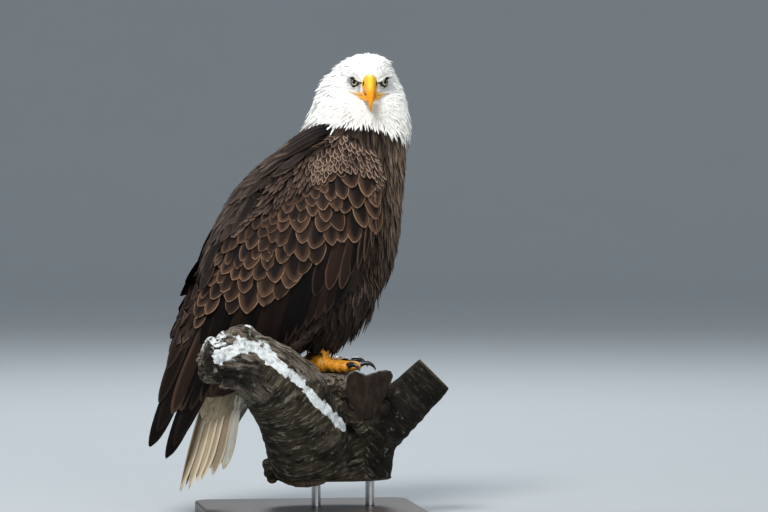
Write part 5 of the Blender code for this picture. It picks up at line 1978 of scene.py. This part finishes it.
def bark_material():
    """Ridged bark, bare worn wood, painted shade in pits and over the fork, lichen, sawn ends and the smooth
    face of the notched stub, whose pale top rim is partly a painted highlight.
    """
    shader = Shader("bark_look", 0.85, Specular_IOR_Level=0.12)
    place = shader.place()
    grain = shader.attribute("grain", "Vector")
    bands = shader.attribute("bands", "Vector")
    worn, cut, crust = shader.parts("zones")
    plate, rim, pit_and_fork_shade = shader.parts("plate")
    broad = shader.noise(place, 26.0, 4.0, 0.6)
    patch = shader.noise(place, 58.0, 4.0, 0.6)
    wide = shader.noise(bands, 95.0, 5.0, 0.62)
    thin = shader.noise(bands, 330.0, 4.0, 0.65)
    bark = shader.layered((0.0095, 0.0080, 0.0058), [
        (broad.smooth(0.36, 0.64), (0.040, 0.032, 0.021)),
        (patch.smooth(0.52, 0.70) * 0.6, (0.034, 0.037, 0.018)),
        (wide.smooth(0.50, 0.62) * patch.smooth(0.34, 0.60) * 0.75, (0.135, 0.112, 0.082)),
        (thin.smooth(0.57, 0.68) * 0.65, (0.24, 0.215, 0.175)),
        (1 - wide.smooth(0.30, 0.42), CRACK_AND_SHADE),
        (1 - thin.smooth(0.36, 0.45), CRACK_AND_SHADE),
    ])
    lines = shader.noise(grain, 380.0, 6.0, 0.65)
    splits = shader.noise(grain, 120.0, 4.0, 0.6)
    wood = shader.layered((0.034, 0.025, 0.019), [
        (lines.smooth(0.34, 0.66), (0.250, 0.215, 0.175)),
        (1 - splits.smooth(0.38, 0.48), (0.008, 0.006, 0.0045)),
        (broad.smooth(0.45, 0.7) * 0.6, (0.070, 0.050, 0.036)),
    ])
    flakes = shader.noise(place, 105.0, 7.0, 0.72)
    clumps = shader.noise(place, 36.0, 3.0, 0.5)
    scab = (crust * 1.05 + (flakes - 0.5) * 1.6 + (clumps - 0.5) * 1.5).smooth(0.46, 0.66)
    spots = shader.noise(place, 44.0, 6.0, 0.65).smooth(0.60, 0.68) * broad.smooth(0.42, 0.6) * 0.7
    pale = shader.mix(flakes.smooth(0.30, 0.60), (0.30, 0.32, 0.31), (0.74, 0.77, 0.78))
    rings = shader.noise(grain, 210.0, 3.0)
    sawn = shader.mix(rings.smooth(0.3, 0.7), (0.045, 0.031, 0.021), (0.115, 0.082, 0.055))
    veins = shader.noise(shader.stretched(place, (30.0, 90.0, 40.0)), 1.0, 4.0)
    smooth_wood = shader.mix(veins.smooth(0.35, 0.7), (0.0115, 0.0078, 0.0056), (0.026, 0.0180, 0.0130))
    colour = shader.layered(bark, [
        (worn.smooth(0.35, 0.75), wood),
        (pit_and_fork_shade * 0.9, CRACK_AND_SHADE),
        (scab, pale),
        (spots, (0.26, 0.29, 0.23)),
        (cut, sawn),
        (plate, smooth_wood),
        # The stub's pale top rim: partly wear, partly a painted highlight on the edge
        (rim * flakes.smooth(0.35, 0.6) * 0.7, (0.30, 0.28, 0.26)),
    ])
    height = (wide * 0.8 + thin * 0.5) * (1 - worn) + (lines * 0.6 + splits * 0.8) * worn
    height = height + scab * 0.35 + patch * 0.3
    return shader.out(colour, None, height * (1 - plate * 0.9), 0.0034, 0.9)


def finish_stand():
    """Better materials for the stand's own solids."""
    shader = Shader("stand_wood_look", 0.42, Coat_Weight=0.3, Coat_Roughness=0.25)
    place = shader.place()
    long = shader.noise(shader.stretched(place, (60.0, 5.0, 60.0)), 1.0, 6.0, 0.6)
    fine = shader.noise(shader.stretched(place, (900.0, 30.0, 900.0)), 1.0, 2.0)
    colour = shader.mix(long.smooth(0.3, 0.7), (0.022, 0.013, 0.009), (0.070, 0.042, 0.027))
    wood = shader.out(shader.shade(colour, 0.8 + fine * 0.4), None, long + fine * 0.4, 0.0004, 0.4)
    shader = Shader("stand_steel_look", 0.32, Metallic=1.0)
    brushed = shader.noise(shader.stretched(shader.place(), (40.0, 40.0, 2600.0)), 1.0, 2.0)
    steel = shader.out(shader.mix(brushed, (0.42, 0.42, 0.43), (0.60, 0.60, 0.61)), 0.26 + brushed * 0.14)
    for name, material in (("stand_base", wood), ("stand_rod_front", steel), ("stand_rod_back", steel)):
        for slot in NODES[name].material_slots:
            slot.material = material


# ---------------------------------------------------------------- studio

CAMERA_DISTANCE, CAMERA_FIELD = 8.0, 1.344
CAMERA_AZIMUTH, CAMERA_ELEVATION = math.radians(-98), math.radians(2.0)
CAMERA_TARGET = Vector((0, -0.130, 0.455))
LIGHT_TARGET = Vector((0, -0.02, 0.45))
# Name, place, size, power, colour
LIGHTS = [
    ("key", (-3.2, 1.4, 4.4), 1.7, 245, (1.0, 0.98, 0.95)),
    ("front", (-4.8, -1.0, 1.3), 2.2, 62, (1.0, 0.99, 0.97)),
    ("far_side", (3.6, -0.6, 3.6), 2.2, 120, (0.96, 0.98, 1.0)),
    ("behind", (1.0, 4.2, 2.6), 2.2, 55, (0.96, 0.98, 1.0)),
]


def area_light(name, place, size, power, colour):
    light = bpy.data.lights.new(name, "AREA")
    light.shape = "DISK"
    light.size = size
    light.energy = power
    light.color = colour
    obj = bpy.data.objects.new(name, light)
    obj.location = place
    obj.rotation_euler = (Vector(place) - LIGHT_TARGET).to_track_quat("Z", "Y").to_euler()
    bpy.context.scene.collection.objects.link(obj)


def make_studio():
    """A grey sweep of paper that curves up all round, a pale sky behind it all, and four lamps."""
    shader = Shader("studio_paper", 0.95, Specular_IOR_Level=0.1)
    paper = shader.noise(shader.place(), 2.0, 2.0)
    material = shader.out(shader.mix(paper, (0.40, 0.43, 0.45), (0.415, 0.445, 0.465)))
    # The sweep's profile: flat out to a bend, a quarter circle, and up
    bend, radius = 9.0, 5.0
    turns = np.linspace(0.1, math.pi / 2, 14)
    profile = [(0.0, 0.0), (4.0, 0.0), (bend, 0.0)]
    profile += [(bend + radius * math.sin(a), radius - radius * math.cos(a)) for a in turns]
    profile += [(bend + radius, 9.0)]
    bm = bmesh.new()
    verts = [bm.verts.new((r, 0, z)) for r, z in profile]
    edges = [bm.edges.new(pair) for pair in zip(verts[:-1], verts[1:])]
    bmesh.ops.spin(bm, geom=verts + edges, cent=(0, 0, 0), axis=(0, 0, 1), dvec=(0, 0, 0), angle=2 * math.pi,
                   steps=96, use_merge=True)
    bmesh.ops.remove_doubles(bm, verts=bm.verts, dist=1e-5)
    for face in bm.faces:
        inward = Vector((0, 0, 3.0)) - face.calc_center_median()
        if face.normal.dot(inward) < 0:
            face.normal_flip()
    mesh = mesh_of("studio_floor", bm)
    mesh.materials.append(material)
    floor = bpy.data.objects.new("studio_floor", mesh)
    bpy.context.scene.collection.objects.link(floor)
    world = bpy.data.worlds.new("studio_world")
    world.use_nodes = True
    background = world.node_tree.nodes["Background"]
    background.inputs["Color"].default_value = (0.86, 0.93, 1.0, 1)
    background.inputs["Strength"].default_value = 0.55
    bpy.context.scene.world = world
    bpy.context.scene.view_settings.view_transform = "Standard"
    for row in LIGHTS:
        area_light(*row)


def set_camera():
    level, rise = math.cos(CAMERA_ELEVATION), math.sin(CAMERA_ELEVATION)
    back = Vector((math.sin(CAMERA_AZIMUTH) * level, -math.cos(CAMERA_AZIMUTH) * level, rise))
    camera = bpy.data.cameras.new("camera")
    camera.lens = camera.sensor_width * CAMERA_DISTANCE / CAMERA_FIELD
    obj = bpy.data.objects.new("camera", camera)
    obj.location = CAMERA_TARGET + back * CAMERA_DISTANCE
    obj.rotation_euler = back.to_track_quat("Z", "Y").to_euler()
    bpy.context.scene.collection.objects.link(obj)
    bpy.context.scene.camera = obj


def build():
    white = plumage_material("white_feathers", 0.75, (0.80, 0.79, 0.76), barb=0.05, root=0.84, spread=0.08,
                             gloss=0.25)
    cream = plumage_material("tail_vanes", 0.6, (0.62, 0.54, 0.40), barb=0.08, root=0.75, spread=0.3,
                             shaft=-0.3, rim_width=0.8, streak=0.9, gloss=0.2)
    brown = plumage_material("brown_feathers", 0.70, (0.20, 0.140, 0.100), barb=0.30, root=0.4, spread=0.8,
                             rim_width=1.6, clear=(0.1, 0.7))
    rimmed = plumage_material("scalloped_feathers", 0.60, TAWNY, zone=(0.092, 0.050, 0.031), barb=0.16,
                              root=0.25, rim_width=1.25, clear=(0.15, 0.85))
    fuzzy = plumage_material("wrist_feathers", 0.65, (0.50, 0.355, 0.265), zone=(0.098, 0.063, 0.047),
                             barb=0.30, root=0.25, spread=0.5, rim_width=1.8, clear=(0.15, 0.8))
    flight = plumage_material("flight_vanes", 0.55, (0.10, 0.062, 0.044), barb=0.12, root=0.7, shaft=0.15,
                              rim_width=1.1, gloss=0.06)
    make_head_feathers(white)
    make_hackles(white)
    make_body_feathers(brown)
    make_trousers(brown)
    make_flight_feathers(flight)
    make_coverts(rimmed)
    make_lesser_coverts(fuzzy)
    make_scapulars(brown)
    make_tail(cream)
    make_tail_coverts(white, cream)
    make_eyes()
    make_bill()
    make_gape()
    make_toes()
    make_talons()
    make_perch()
    finish_stand()
    make_studio()
    set_camera()


build()
